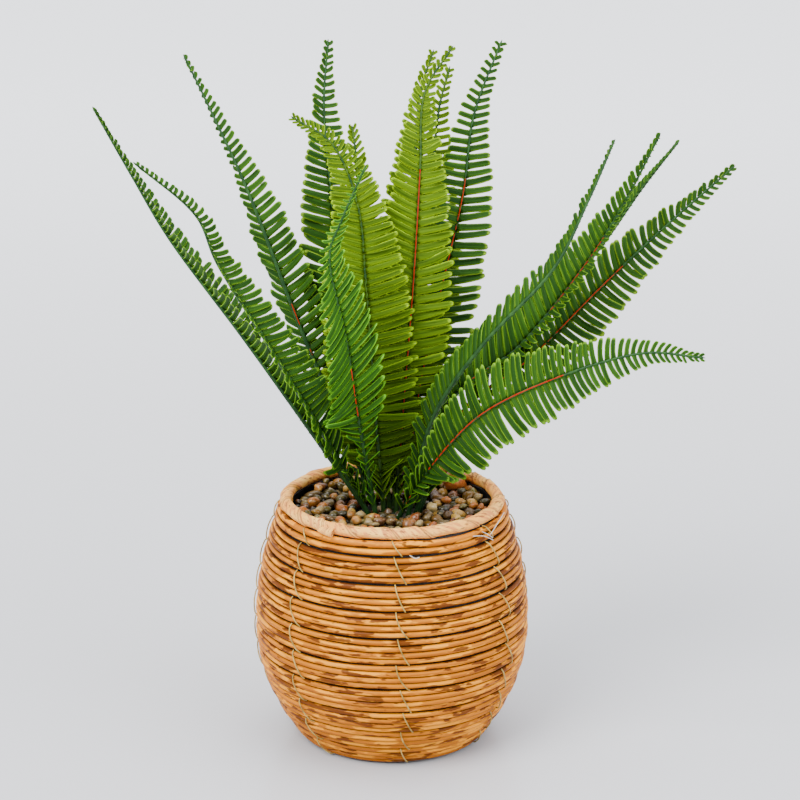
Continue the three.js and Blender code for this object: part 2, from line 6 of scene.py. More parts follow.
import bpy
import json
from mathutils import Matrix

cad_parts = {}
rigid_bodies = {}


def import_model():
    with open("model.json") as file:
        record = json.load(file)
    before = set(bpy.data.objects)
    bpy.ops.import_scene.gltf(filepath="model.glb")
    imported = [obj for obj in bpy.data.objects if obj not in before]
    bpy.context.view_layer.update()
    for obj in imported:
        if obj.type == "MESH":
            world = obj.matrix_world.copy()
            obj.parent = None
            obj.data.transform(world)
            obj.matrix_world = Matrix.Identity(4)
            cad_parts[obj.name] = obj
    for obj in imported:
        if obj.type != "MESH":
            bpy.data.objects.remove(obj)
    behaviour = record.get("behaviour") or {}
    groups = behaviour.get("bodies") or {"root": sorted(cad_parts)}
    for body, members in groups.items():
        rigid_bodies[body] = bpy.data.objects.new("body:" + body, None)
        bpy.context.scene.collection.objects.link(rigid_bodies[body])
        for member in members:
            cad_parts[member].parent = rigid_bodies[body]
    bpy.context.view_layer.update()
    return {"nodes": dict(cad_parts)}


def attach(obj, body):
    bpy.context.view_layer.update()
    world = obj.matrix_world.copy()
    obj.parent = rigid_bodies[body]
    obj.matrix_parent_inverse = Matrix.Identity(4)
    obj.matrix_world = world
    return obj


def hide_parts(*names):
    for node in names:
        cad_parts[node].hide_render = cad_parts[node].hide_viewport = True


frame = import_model()

import itertools
import json
import math
import random

import bmesh
import bpy
import numpy as np
from mathutils import Matrix, Quaternion, Vector, noise

bl_info = {
    "name": "Potted Fern Looks",
    "version": (1, 0, 0),
    "blender": (4, 5, 0),
    "location": "3D View > Sidebar > Fern",
    "description": "Dresses the potted fern: cane, husk rim, stitches, pebbles and fronds",
    "category": "Object",
}

MM = 0.001
BODY = "root"

# Sizes of the pot, the gravel and the fronds are in millimetres, and angles round the pot in
# degrees from the front towards the right.

# The pot's outer profile over the crests of the cane, how full it is below and above the belly,
# its points, and how far along it its direction is read.
FOOT_RADIUS, BELLY_RADIUS, SHOULDER_RADIUS = 47, 70, 57.5
BELLY_HEIGHT, SHOULDER_HEIGHT = 62, 122
LOWER_FULLNESS, UPPER_FULLNESS = 2.2, 2
PROFILE_POINTS, TANGENT_REACH = 401, 0.4

# Courses of cane from the foot up, and how far their lowest and highest rods lie in.
FULL_COURSES, RODS_PER_COURSE, RODS_IN_TOP_COURSE = 9, 4, 2
TOP_ROD = FULL_COURSES * RODS_PER_COURSE + RODS_IN_TOP_COURSE - 1
COURSE_ROUNDING = 0.7

# A rod: points round the pot, thickness as a share of its room, how much that varies, how far
# it may lie in, its own sway as a share of its course's, and how much thicker the top ones are.
ROD_POINTS, ROD_FULLNESS, ROD_VARIATION, ROD_SINK, OWN_SWAY = 150, 0.975, 0.05, 0.12, 0.3
TOP_ROD_SWELL = 1.22

# The rim's hoop. The top course is lowest under it at one angle: how far from there it is
# pressed up in full, how far its lower and upper rods are, and the share that is left there.
RIM_OUTER_RADIUS, RIM_BAR_RADIUS, RIM_HEIGHT = 56.5, 3.1, 125
TOP_GAP_ANGLE, TOP_GAP_SPREAD = 31, (6, 22)
TOP_COURSE_LIFTS, LEAST_LIFT = (0.5, 1.12), 0.3

# The husk strips on the hoop: how many, points along and round each, and how much they lie
# lower, start thinner, lap, are fuller but for the underside, and bulge outside.
HUSK_STRIPS, STRIP_POINTS, BAR_POINTS, HUSK_SEED = 17, 26, 26, 41
HUSK_DOWN, HUSK_INSET, HUSK_LAP, HUSK_FULLNESS, HUSK_BULGE = 0.1, 0.62, 0.6, 0.42, 0.3

# The end of a husk strip that stands off the rim: the first points of its line as distances
# out and up, then the middle, radii and turns of the curl. It lies between two angles, with a
# size at each, and starts so far out from the rim and down from its middle.
CURL_START = ((-2.4, 2.2), (0.2, 2.5), (2.4, 1.8))
CURL_MIDDLE, CURL_RADII, CURL_STEPS = (3.3, -0.6), (2.0, 0.9), 15
CURL_FIRST_TURN, CURL_TURN = 70, 34
CURL_ANGLES, CURL_COLUMNS, CURL_SIZES = (-38.5, -29.5), 9, (0.4, 0.8)
CURL_OUT, CURL_DOWN, CURL_HALF_THICKNESS = 0.2, 0.4, 0.13

# Lines of stitches, in degrees: where they are, how far half a stitch slants, how far a line
# leans over the pot's height, and how far stitches and their left and right ends stray.
STITCH_ANGLES = (-90, -44, 5, 56, 100, 146, 190, 230)
STITCH_SLANT, STITCH_LEAN, STITCH_DRIFT = 2.5, 2.2, 0.7
LEFT_STRAY, RIGHT_STRAY = (-0.7, 0.5), (-0.9, 0.7)

# How deep a stitch starts, how far it stands out and may stand out more, the lowest arc length,
# how much of its slant may lie at its top, and how many spans it has.
STITCH_DEPTH, STITCH_PROUD, STITCH_EXTRA, LOWEST_STITCH = 1.3, 0.62, 0.45, 0.9
STITCH_TURN, STITCH_SPANS = 0.65, 10

# Cut ends of silver wire by the rim, as places given by angle, height and distance out, then
# their radius as a share of a stitch's and how near they are to their line of stitches.
WIRE_ENDS = (
    ((70, 124.5, 59.4), (61, 122.0, 59.8), (53.5, 118.6, 60.4)),
    ((48.0, 121.4, 59.6), (51.5, 119.2, 60.4), (54.6, 116.6, 60.8)),
    ((41.5, 120.8, 59.7), (48.0, 119.4, 60.4), (54.8, 115.4, 61.0)),
    ((8.0, 116.6, 60.9), (10.5, 115.0, 61.2), (12.5, 115.4, 61.1)),
)
WIRE_END_SHARE, WIRE_END_NEAR = 0.68, 12

# Faces round a stitch wire, a rib and its core.
WIRE_SIDES, RIB_SIDES, CORE_SIDES = 6, 8, 6

# The filler block with its raised middle, and the gravel on it: its top, radius, how much
# lower it is in the middle, and how far a pebble may stand over its top.
FILLER_TOP, FILLER_BOSS_RADIUS, FILLER_BOSS_TOP = 109.5, 18, 116.5
GRAVEL_TOP, GRAVEL_RADIUS, GRAVEL_DISH, GRAVEL_HEAP = 116, 51.5, 2, 10

# The pebbles' shapes: how many, faces round and over a ball, and its cuts with their distances
# from its middle.
PEBBLE_SHAPES, SHAPE_SEED, PEBBLE_SIDES, PEBBLE_RINGS = 10, 8, 9, 6
PEBBLE_CUTS, CUT_DEPTHS = 6, (0.62, 0.9)

# A pebble: places tried for it, the share of the pebbles that comes first with radii of its own,
# how rare large ones are among the rest, its length, width and height as shares of its radius,
# and the spread of its tipping in degrees.
PEBBLE_TRIES, FIRST_PEBBLES, FIRST_RADII, PEBBLE_GRADING = 14, 0.25, (3.2, 4.2), 1.9
PEBBLE_STRETCHES = ((0.98, 1.22), (0.82, 1.0), (0.6, 0.86))
PEBBLE_TIP = 24

# How high a pebble sits on the filler, how near it comes to others, how high it lies on them,
# and how far its corners reach, as shares of its radius or of both radii.
PEBBLE_SEAT, PEBBLE_NESTLING, PEBBLE_STACKING, PEBBLE_CORNERS = 0.7, 0.9, 0.78, 1.08

# What pebbles leave free by the wall, stems, rim and ribs, with more by the ribs for large ones.
# A rib is tested at points one millimetre apart.
WALL_ROOM, STEM_ROOM, RIM_ROOM, RIB_ROOM, RIB_SPREAD = 0.2, 1.4, 0.9, 1.6, 1.22
RIB_POINTS_IN_GRAVEL = 14

# Stones that stand out: x, y, z, radius, then length, width, height and tone.
BIG_STONES = (
    (32.5, 28.0, 125.6, 6.2, (6.6, 5.6, 6.0), 0.3),
    (41.0, 19.0, 120.8, 4.4, (4.8, 4.2, 4.4), 0.52),
)

# A frond's stem and rib: heights of the stem, the rib's bare length, its radii at foot and tip,
# its pointed end and the spacing of its points. Then the wire inside it: radius, how deep its
# middle lies and its ends lie further, and the spacing of its points.
STEM_HEIGHTS, STEM_TOP, BARE_STEM = (92, 104, 115), 118, 5
RIB_RADII, RIB_END_RADIUS, RIB_END_LENGTH, RIB_SPACING = (1.3, 0.52), 0.12, 1.5, 3
CORE_RADIUS, CORE_DEPTH, CORE_SPACING, CORE_END_DEPTH = 0.32, 0.28, 2.5, 0.35

# Each frond: its tone, where its stem stands (root), the points that its rib runs through
# (path), and the way that its upper side faces at foot and tip. Pairs are for its two rows of
# leaflets: how far they are raised and swept back in degrees, how much shorter they are all
# along (shortened), at the tip (tapers) and at the foot (lower), and where along the rib they
# stand fully open (opens). Single numbers say how far leaflets curl towards the tip (curl), are
# rolled about themselves (rolled) and stand apart (pitch), and how much longer (size) and
# broader (broad) they are. The red core shows between the shares of the rib given as core.
FRONDS = {
    "01_far_left": {
        "tone": "mid", "root": (-13, 2),
        "path": ((-35, 8, 149), (-74, 18, 203), (-110, 26, 251), (-130, 30, 285), (-148, 32, 318)),
        "face": (0.8, -0.05, 0.55), "tip_face": (0.8, -0.15, 0.55), "raised": (48, 32),
        "pitch": 3.4, "rolled": 10, "shortened": (0.72, 0.72), "curl": 0.4,
    },
    "02_left": {
        "tone": "mid", "root": (-12, -4),
        "path": ((-29, -10, 153), (-57, -22, 206), (-83, -28, 252), (-94, -32, 279), (-121, -36, 304)),
        "face": (0.35, -0.85, 0.35), "tip_face": (0.62, -0.5, 0.6), "raised": (55, 12),
        "swept": (0, 28), "curl": 0.3, "pitch": 3.4, "rolled": 8, "shortened": (0.5, 0.8),
        "opens": (0.16, 0.42), "lower": (1.5, 1),
    },
    "03_left_back": {
        "tone": "mid", "root": (-9, 6),
        "path": ((-22, 16, 151), (-46, 30, 205), (-72, 46, 271), (-92, 58, 313), (-105, 64, 339)),
        "face": (0.2, -0.9, 0.3), "tip_face": (0.3, -0.9, 0.3), "raised": (-58, 5),
        "curl": -0.2, "pitch": 4.3, "shortened": (0.64, 0.84), "swept": (-28, -13),
        "tapers": (0.55, 0.95),
        "core": ((0.33, 0.36), (0.4, 0.46)),
    },
    "04_back": {
        "tone": "dark", "root": (-4, 11),
        "path": ((-15, 26, 159), (-26, 46, 222), (-32, 62, 276), (-35, 76, 312), (-33, 88, 343)),
        "face": (0, -0.95, 0.3), "tip_face": (0.1, -0.95, 0.3), "raised": (12, 12),
        "opens": (0.18, 0.18), "swept": (-16, 10), "broad": 1.08,
    },
    "05_centre_left": {
        "tone": "light", "root": (-4, -4),
        "path": ((-8, 0, 166), (-13, 8, 235), (-17, 14, 273), (-29, 24, 301), (-49, 30, 314)),
        "face": (0, -0.95, 0.2), "tip_face": (0.1, -0.9, 0.4), "raised": (10, 10),
        "swept": (-14, -5), "size": 1.08, "pitch": 3.3, "rolled": 6, "opens": (0.15, 0.15),
        "broad": 0.94,
    },
    "06_centre_back": {
        "tone": "light", "root": (-1, 5),
        "path": ((-7, 12, 162), (-13, 24, 222), (-16, 32, 262), (-18, 40, 291), (-20, 46, 306)),
        "face": (0, -0.95, 0.2), "tip_face": (0, -0.95, 0.3), "raised": (10, 10),
        "swept": (-12, -10), "size": 1.2, "pitch": 3.9, "opens": (0.15, 0.15),
    },
    "07_front": {
        "tone": "bright", "root": (-8, -9),
        "path": ((-15, -16, 163), (-22, -22, 214), (-30, -24, 254), (-24, -22, 274), (-13, -16, 298)),
        "face": (-0.2, -0.95, 0.2), "tip_face": (-0.3, -0.9, 0.3), "raised": (24, 12),
        "swept": (62, -32), "curl": 0.9, "size": 1.1, "pitch": 3.9, "opens": (0.4, 0.4),
        "shortened": (0.88, 0.96), "tapers": (0.6, 0.66), "rolled": 12, "core": ((0.3, 0.465),),
        "broad": 0.8, "lower": (0.5, 0.62),
    },
    "08_centre": {
        "tone": "light", "root": (2, -1),
        "path": ((6, 6, 175), (11, 20, 238), (14, 34, 287), (16, 48, 322), (30, 60, 344)),
        "face": (0, -0.95, 0.2), "tip_face": (0.1, -0.9, 0.4), "raised": (8, 8),
        "swept": (-15, -10), "pitch": 4.2, "opens": (0.15, 0.15), "core": ((0.1, 0.73),),
    },
    "09_centre_far": {
        "tone": "light", "root": (2, 8),
        "path": ((5, 24, 170), (9, 44, 228), (11, 60, 271), (14, 78, 315), (21, 86, 338)),
        "face": (0, -0.95, 0.2), "tip_face": (0, -0.9, 0.4), "raised": (10, 10),
        "swept": (-12, -10), "pitch": 3.9, "opens": (0.15, 0.15),
    },
    "10_right_back": {
        "tone": "dark", "root": (7, 6),
        "path": ((13, 20, 171), (23, 38, 215), (36, 58, 268), (42, 72, 308), (56, 86, 343)),
        "face": (0, -0.95, 0.3), "tip_face": (0, -0.9, 0.4), "raised": (10, 10),
        "curl": -0.5, "opens": (0.2, 0.2), "core": ((0.1, 0.71),), "pitch": 4.8, "broad": 1.06,
        "swept": (0, -13),
    },
    "11_right_upright": {
        "tone": "mid", "root": (8, -7),
        "path": ((20, -14, 171), (44, -18, 210), (78, -14, 247), (95, -6, 279), (108, 4, 307)),
        "face": (-0.5, -0.7, 0.5), "tip_face": (-0.65, -0.55, 0.5), "raised": (-10, -128),
        "pitch": 3.4, "shortened": (0.76, 0.5), "tapers": (1.1, 0.9), "curl": -0.4,
        "swept": (-26, -20),
    },
    "12_right": {
        "tone": "mid", "root": (12, -3),
        "path": ((29, 2, 175), (64, 8, 203), (95, 12, 242), (114, 14, 273), (131, 14, 308)),
        "face": (-0.2, -0.9, 0.4), "tip_face": (-0.3, -0.9, 0.3), "raised": (5, 58),
        "pitch": 4.2, "shortened": (1, 0.56), "broad": 0.94, "swept": (-22, 0),
        "core": ((0.3, 0.38), (0.55, 0.76)),
    },
    "13_right_behind": {
        "tone": "mid", "root": (10, 11),
        "path": ((30, 26, 172), (66, 44, 201), (102, 54, 236), (128, 60, 272), (146, 64, 295)),
        "face": (-0.5, -0.6, 0.6), "tip_face": (-0.8, -0.1, 0.6), "raised": (25, 25),
        "pitch": 3.4, "shortened": (0.95, 0.9), "tapers": (1, 0.55), "swept": (-24, -16),
    },
    "14_far_right": {
        "tone": "dark", "root": (14, 3),
        "path": ((35, 16, 165), (70, 26, 191), (107, 32, 228), (138, 32, 259), (170, 30, 289)),
        "face": (-0.1, -0.9, 0.5), "tip_face": (-0.3, -0.8, 0.5), "raised": (10, 10),
        "pitch": 4.2, "broad": 0.98, "swept": (-18, 0), "core": ((0.2, 0.7),),
    },
    "15_right_low": {
        "tone": "mid", "root": (3, -11),
        "path": ((18, -30, 150), (43, -48, 184), (80, -58, 206), (117, -64, 219), (146, -64, 217)),
        "face": (-0.1, -0.85, 0.5), "tip_face": (0, -0.85, 0.5), "raised": (8, 8),
        "curl": 0.3, "pitch": 3.5, "opens": (0.56, 0.34), "core": ((0.06, 0.12), (0.2, 0.67)),
        "broad": 0.86,
    },
    "16_back_far": {
        "tone": "light", "root": (1, 14),
        "path": ((7, 36, 164), (15, 62, 216), (20, 82, 262), (24, 98, 303), (30, 108, 326)),
        "face": (0, -0.95, 0.3), "tip_face": (0, -0.85, 0.5), "raised": (10, 10),
    },
}

# What a frond has where it says nothing else.
PLAIN_FROND = {
    "swept": (0, 0), "opens": (0.42, 0.42), "shortened": (1, 1), "tapers": (1, 1), "lower": (1, 1),
    "rolled": 0, "size": 1, "broad": 1, "curl": 0, "core": (),
}


def smoothstep(value, low, high):
    share = min(max((value - low) / (high - low), 0.0), 1.0)
    return share * share * (3 - 2 * share)


def lerp(low, high, share):
    return low + (high - low) * share


def curve_point(before, start, end, after, share):
    """A place between start and end on the smooth curve through four places."""
    pull, push = (end - before) * 0.5, (after - start) * 0.5
    return (
        start + pull * share + (end * 3 - start * 3 - pull * 2 - push) * share ** 2
        + (start * 2 - end * 2 + pull + push) * share ** 3
    )


def beside_pot(radius, degrees, height):
    """A place in metres, at degrees from the front towards the right."""
    angle = math.radians(degrees - 90)
    return Vector((radius * math.cos(angle), radius * math.sin(angle), height)) * MM


# Node trees.


class Signal:
    """A socket of a node tree. Sums and products of values on it add Math nodes."""

    def __init__(self, tree, socket=None):
        self.tree = tree
        self.socket = socket

    def node(self, kind, settings=None, inputs=None, output=None):
        """Adds a node: settings first, then its sockets' values or links, by name or number."""
        made = self.tree.nodes.new(kind)
        for name, value in (settings or {}).items():
            if name == "stops":
                self.set_stops(made.color_ramp, value)
            else:
                setattr(made, name, value)
        for key, value in (inputs or {}).items():
            self.feed(made, key, value)
        outputs = [socket for socket in made.outputs if socket.enabled]
        named = [socket for socket in outputs if socket.name == output]
        return Signal(self.tree, (named or outputs or [None])[0])

    def feed(self, node, key, value):
        sockets = [socket for socket in node.inputs if socket.enabled]
        if isinstance(key, str):
            sockets = [socket for socket in sockets if socket.name == key]
            key = 0
        socket = sockets[key]
        for item in value if isinstance(value, list) else [value]:
            if isinstance(item, Signal):
                self.tree.links.new(item.socket, socket)
            else:
                socket.default_value = item

    @staticmethod
    def set_stops(ramp, stops):
        while len(ramp.elements) < len(stops):
            ramp.elements.new(0.5)
        for element, (position, colour) in zip(ramp.elements, stops):
            element.position = position
            element.color = (*colour[:3], 1)

    def maths(self, operation, *values):
        return self.node("ShaderNodeMath", {"operation": operation}, dict(enumerate(values)))

    def __add__(self, other):
        return self.maths("ADD", self, other)

    def __radd__(self, other):
        return self.maths("ADD", other, self)

    def __sub__(self, other):
        return self.maths("SUBTRACT", self, other)

    def __rsub__(self, other):
        return self.maths("SUBTRACT", other, self)

    def __mul__(self, other):
        return self.maths("MULTIPLY", self, other)

    def __abs__(self):
        return self.maths("ABSOLUTE", self)

    def ramped(self, low, high):
        """0 below low, 1 above high, and smooth between them."""
        return self.node(
            "ShaderNodeMapRange", {"interpolation_type": "SMOOTHSTEP"},
            {"Value": self, "From Min": low, "From Max": high},
        )

    def mixed(self, first, second, blend="MIX"):
        """first where this is 0 and second where it is 1, as a colour."""
        return self.node(
            "ShaderNodeMix", {"data_type": "RGBA", "blend_type": blend},
            {"Factor": self, "A": first, "B": second},
        )

    def place(self):
        """The place on the piece, in metres."""
        return self.node("ShaderNodeTexCoord", output="Object")

    def attribute(self, name, output="Fac"):
        return self.node("ShaderNodeAttribute", {"attribute_name": name}, output=output)

    def stretched(self, vector, scale, shift=None):
        """A place scaled along each axis, and moved up by shift."""
        scaled = self.node("ShaderNodeVectorMath", {"operation": "MULTIPLY"}, {0: vector, 1: scale})
        if shift is None:
            return scaled
        moved = self.node("ShaderNodeCombineXYZ", inputs={"Z": shift})
        return self.node("ShaderNodeVectorMath", {"operation": "ADD"}, {0: scaled, 1: moved})

    def joined(self, x, y, z):
        return self.node("ShaderNodeCombineXYZ", inputs={"X": x, "Y": y, "Z": z})

    def clouds(self, vector, scale=1.0, detail=2.0, roughness=0.5):
        """Soft noise from 0 to 1."""
        return self.node(
            "ShaderNodeTexNoise",
            inputs={"Vector": vector, "Scale": scale, "Detail": detail, "Roughness": roughness},
        )

    def bumped(self, height, strength, distance):
        return self.node(
            "ShaderNodeBump", inputs={"Strength": strength, "Distance": distance, "Height": height}
        )


def painted(name, colour_of, **finish):
    """A material with one shader. colour_of gives its changing sockets from a Signal."""
    material = bpy.data.materials.new(name)
    material.use_nodes = True
    tree = material.node_tree
    tree.nodes.clear()
    paint = Signal(tree)
    sockets = {**finish, **colour_of(paint)}
    shader = paint.node("ShaderNodeBsdfPrincipled", inputs=sockets)
    paint.node("ShaderNodeOutputMaterial", inputs={"Surface": shader})
    return material


def growing_tree(name, sockets, build):
    """A geometry tree with a Geometry input and the named ones. build makes its nodes."""
    tree = bpy.data.node_groups.new(name, "GeometryNodeTree")
    tree.interface.new_socket("Geometry", in_out="INPUT", socket_type="NodeSocketGeometry")
    for label, (kind, default) in sockets.items():
        socket = tree.interface.new_socket(label, in_out="INPUT", socket_type=kind)
        if default is not None:
            socket.default_value = default
    tree.interface.new_socket("Geometry", in_out="OUTPUT", socket_type="NodeSocketGeometry")
    grow = Signal(tree)
    entry = tree.nodes.new("NodeGroupInput")
    given = {socket.name: Signal(tree, socket) for socket in entry.outputs if socket.name}
    tree_output = tree.nodes.new("NodeGroupOutput")
    grow.feed(tree_output, "Geometry", build(grow, given))
    return tree


def named(grow, name, kind="FLOAT"):
    return grow.node("GeometryNodeInputNamedAttribute", {"data_type": kind}, {"Name": name})


def finished_faces(grow, faces, material):
    smooth = grow.node("GeometryNodeSetShadeSmooth", inputs={"Geometry": faces})
    plain = grow.node("GeometryNodeRealizeInstances", inputs={"Geometry": smooth})
    return grow.node("GeometryNodeSetMaterial", inputs={"Geometry": plain, "Material": material})


def build_swept_lines(grow, given):
    """Sweeps a round section along each line of edges, as thick as its radius attribute."""
    curve = grow.node("GeometryNodeMeshToCurve", inputs={"Mesh": given["Geometry"]})
    section = grow.node(
        "GeometryNodeCurvePrimitiveCircle", inputs={"Resolution": given["Sides"], "Radius": 1.0}
    )
    faces = grow.node(
        "GeometryNodeCurveToMesh",
        inputs={
            "Curve": curve, "Profile Curve": section, "Fill Caps": True,
            "Scale": named(grow, "radius") * given["Thickness"],
        },
    )
    where = grow.node("GeometryNodeInputPosition")
    drift = grow.node(
        "ShaderNodeTexNoise", {"noise_dimensions": "4D"},
        {"Vector": where, "W": given["Seed"], "Scale": 55.0, "Detail": 1.0}, output="Color",
    )
    middle = (0.5, 0.5, 0.5)
    centred = grow.node("ShaderNodeVectorMath", {"operation": "SUBTRACT"}, {0: drift, 1: middle})
    shift = grow.node(
        "ShaderNodeVectorMath", {"operation": "SCALE"},
        {"Vector": centred, "Scale": given["Wobble"]},
    )
    faces = grow.node("GeometryNodeSetPosition", inputs={"Geometry": faces, "Offset": shift})
    faces = grow.node(
        "GeometryNodeStoreNamedAttribute", {"data_type": "FLOAT_VECTOR", "domain": "POINT"},
        {"Geometry": faces, "Name": "facing", "Value": grow.node("GeometryNodeInputNormal")},
    )
    return finished_faces(grow, faces, given["Material"])


def build_placed_shapes(grow, given):
    """Stands one of the shapes on every point, turned and stretched by its attributes."""
    shapes = grow.node(
        "GeometryNodeCollectionInfo",
        inputs={"Collection": given["Shapes"], "Separate Children": True, "Reset Children": True},
    )
    stretch = grow.node(
        "ShaderNodeVectorMath", {"operation": "SCALE"},
        {"Vector": named(grow, "stretch", "FLOAT_VECTOR"), "Scale": given["Size"]},
    )
    placed = grow.node("GeometryNodeInstanceOnPoints", inputs={
        "Points": given["Geometry"], "Instance": shapes, "Pick Instance": True,
        "Instance Index": named(grow, "shape", "INT"),
        "Rotation": named(grow, "turn", "QUATERNION"), "Scale": stretch,
    })
    return finished_faces(grow, placed, given["Material"])


def build_frond(grow, given):
    """Leaflets on the loose points, and the rib and the red core along their lines."""
    swept, placed = bpy.data.node_groups["swept_lines"], bpy.data.node_groups["placed_shapes"]

    def part_of(points, attribute, output):
        return grow.node(
            "GeometryNodeSeparateGeometry", {"domain": "POINT"},
            {"Geometry": points, "Selection": named(grow, attribute, "BOOLEAN")}, output=output,
        )

    core = part_of(given["Geometry"], "is_core", "Selection")
    rest = part_of(given["Geometry"], "is_core", "Inverted")
    rib = part_of(rest, "is_rib", "Selection")
    points = part_of(rest, "is_rib", "Inverted")
    parts = [
        grow.node("GeometryNodeGroup", {"node_tree": placed}, {
            "Geometry": points, "Shapes": given["Leaflets"], "Material": given["Leaf"],
            "Size": given["Leaflet Size"],
        }),
        grow.node("GeometryNodeGroup", {"node_tree": swept}, {
            "Geometry": rib, "Material": given["Rib"], "Sides": RIB_SIDES,
        }),
        grow.node("GeometryNodeGroup", {"node_tree": swept}, {
            "Geometry": core, "Material": given["Core"], "Sides": CORE_SIDES,
        }),
    ]
    joined = grow.node("GeometryNodeJoinGeometry", inputs={"Geometry": parts})
    return grow.node("GeometryNodeRealizeInstances", inputs={"Geometry": joined})


def shared_trees():
    """The three trees, made once and found again by name."""
    if "swept_lines" not in bpy.data.node_groups:
        growing_tree("swept_lines", {
            "Thickness": ("NodeSocketFloat", 1.0), "Sides": ("NodeSocketInt", 10),
            "Wobble": ("NodeSocketFloat", 0.0), "Seed": ("NodeSocketFloat", 3.0),
            "Material": ("NodeSocketMaterial", None),
        }, build_swept_lines)
        growing_tree("placed_shapes", {
            "Shapes": ("NodeSocketCollection", None), "Size": ("NodeSocketFloat", 1.0),
            "Material": ("NodeSocketMaterial", None),
        }, build_placed_shapes)
        growing_tree("frond", {
            "Leaflets": ("NodeSocketCollection", None), "Leaflet Size": ("NodeSocketFloat", 1.0),
            "Leaf": ("NodeSocketMaterial", None), "Rib": ("NodeSocketMaterial", None),
            "Core": ("NodeSocketMaterial", None),
        }, build_frond)
    return bpy.data.node_groups


# Meshes and pieces.


def mesh_of(name, points, edges=(), faces=(), attributes=None):
    """A mesh in metres, with point attributes given as name: (type, values)."""
    mesh = bpy.data.meshes.new(name)
    mesh.from_pydata([tuple(point) for point in points], list(edges), list(faces))
    for label, (kind, values) in (attributes or {}).items():
        layer = mesh.attributes.new(label, kind, "POINT")
        field = "vector" if kind == "FLOAT_VECTOR" else "value"
        layer.data.foreach_set(field, np.asarray(values).ravel())
    mesh.validate()
    return mesh


def object_of(mesh, name=None):
    thing = bpy.data.objects.new(name or mesh.name, mesh)
    bpy.context.scene.collection.objects.link(thing)
    return thing


def outward(mesh):
    """Turns the faces of a closed mesh outwards."""
    shape = bmesh.new()
    shape.from_mesh(mesh)
    bmesh.ops.recalc_face_normals(shape, faces=shape.faces)
    shape.to_mesh(mesh)
    shape.free()
    return mesh


def shape_collection(name, meshes):
    """Shapes to stand on points, kept out of the scene."""
    collection = bpy.data.collections.new(name)
    for mesh in meshes:
        collection.objects.link(bpy.data.objects.new(mesh.name, mesh))
    return collection


def clear_shapes(collection):
    for thing in list(collection.objects):
        mesh = thing.data
        bpy.data.objects.remove(thing)
        bpy.data.meshes.remove(mesh)
    bpy.data.collections.remove(collection)


def grown(mesh, tree, inputs):
    """The plain mesh that a geometry tree makes of a mesh."""
    source = object_of(mesh)
    modifier = source.modifiers.new("grow", "NODES")
    modifier.node_group = tree
    for item in tree.interface.items_tree:
        if item.in_out == "INPUT" and item.name in inputs:
            modifier[item.identifier] = inputs[item.name]
    depsgraph = bpy.context.evaluated_depsgraph_get()
    result = bpy.data.meshes.new_from_object(
        source.evaluated_get(depsgraph), preserve_all_data_layers=True, depsgraph=depsgraph
    )
    source.modifiers.remove(modifier)
    bpy.data.objects.remove(source)
    bpy.data.meshes.remove(mesh)
    if not result.polygons:
        raise RuntimeError(f"tree {tree.name} made no faces")
    return result


def add_piece(name, mesh, nodes):
    """A finished piece at the origin that stands for CAD nodes and rides on the body."""
    mesh.name = name
    piece = object_of(mesh, name)
    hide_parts(*nodes)
    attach(piece, BODY)
    return piece


def smooth_faces(mesh, material):
    mesh.polygons.foreach_set("use_smooth", [True] * len(mesh.polygons))
    mesh.materials.clear()
    mesh.materials.append(material)
    return mesh


# The pot's own lines.


def pot_radius(height):
    if height < BELLY_HEIGHT:
        drop = ((BELLY_HEIGHT - height) / BELLY_HEIGHT) ** LOWER_FULLNESS
        return BELLY_RADIUS - (BELLY_RADIUS - FOOT_RADIUS) * drop
    rise = ((height - BELLY_HEIGHT) / (SHOULDER_HEIGHT - BELLY_HEIGHT)) ** UPPER_FULLNESS
    return BELLY_RADIUS - (BELLY_RADIUS - SHOULDER_RADIUS) * rise


HEIGHTS = np.linspace(0, SHOULDER_HEIGHT, PROFILE_POINTS)
PROFILE = np.array([(pot_radius(height), height) for height in HEIGHTS])
PROFILE_ARC = np.concatenate([[0], np.cumsum(np.linalg.norm(np.diff(PROFILE, axis=0), axis=1))])
ROD_PITCH = PROFILE_ARC[-1] / (TOP_ROD + 1)


def profile_at(arc):
    return np.array([np.interp(arc, PROFILE_ARC, PROFILE[:, axis]) for axis in (0, 1)])


def pot_point(arc, depth):
    """Radius and height on the profile at an arc length, moved in by a depth."""
    arc = min(max(arc, 0.0), PROFILE_ARC[-1])
    here = profile_at(arc)
    tangent = profile_at(arc + TANGENT_REACH) - profile_at(arc - TANGENT_REACH)
    tangent /= np.linalg.norm(tangent)
    return here[0] - tangent[1] * depth, here[1] + tangent[0] * depth


def course_span(index):
    """A course's number of rods, and the arc lengths where it starts and ends."""
    rods = RODS_PER_COURSE if index < FULL_COURSES else RODS_IN_TOP_COURSE
    start = index * RODS_PER_COURSE * ROD_PITCH
    return rods, start, start + rods * ROD_PITCH


# Finishes.


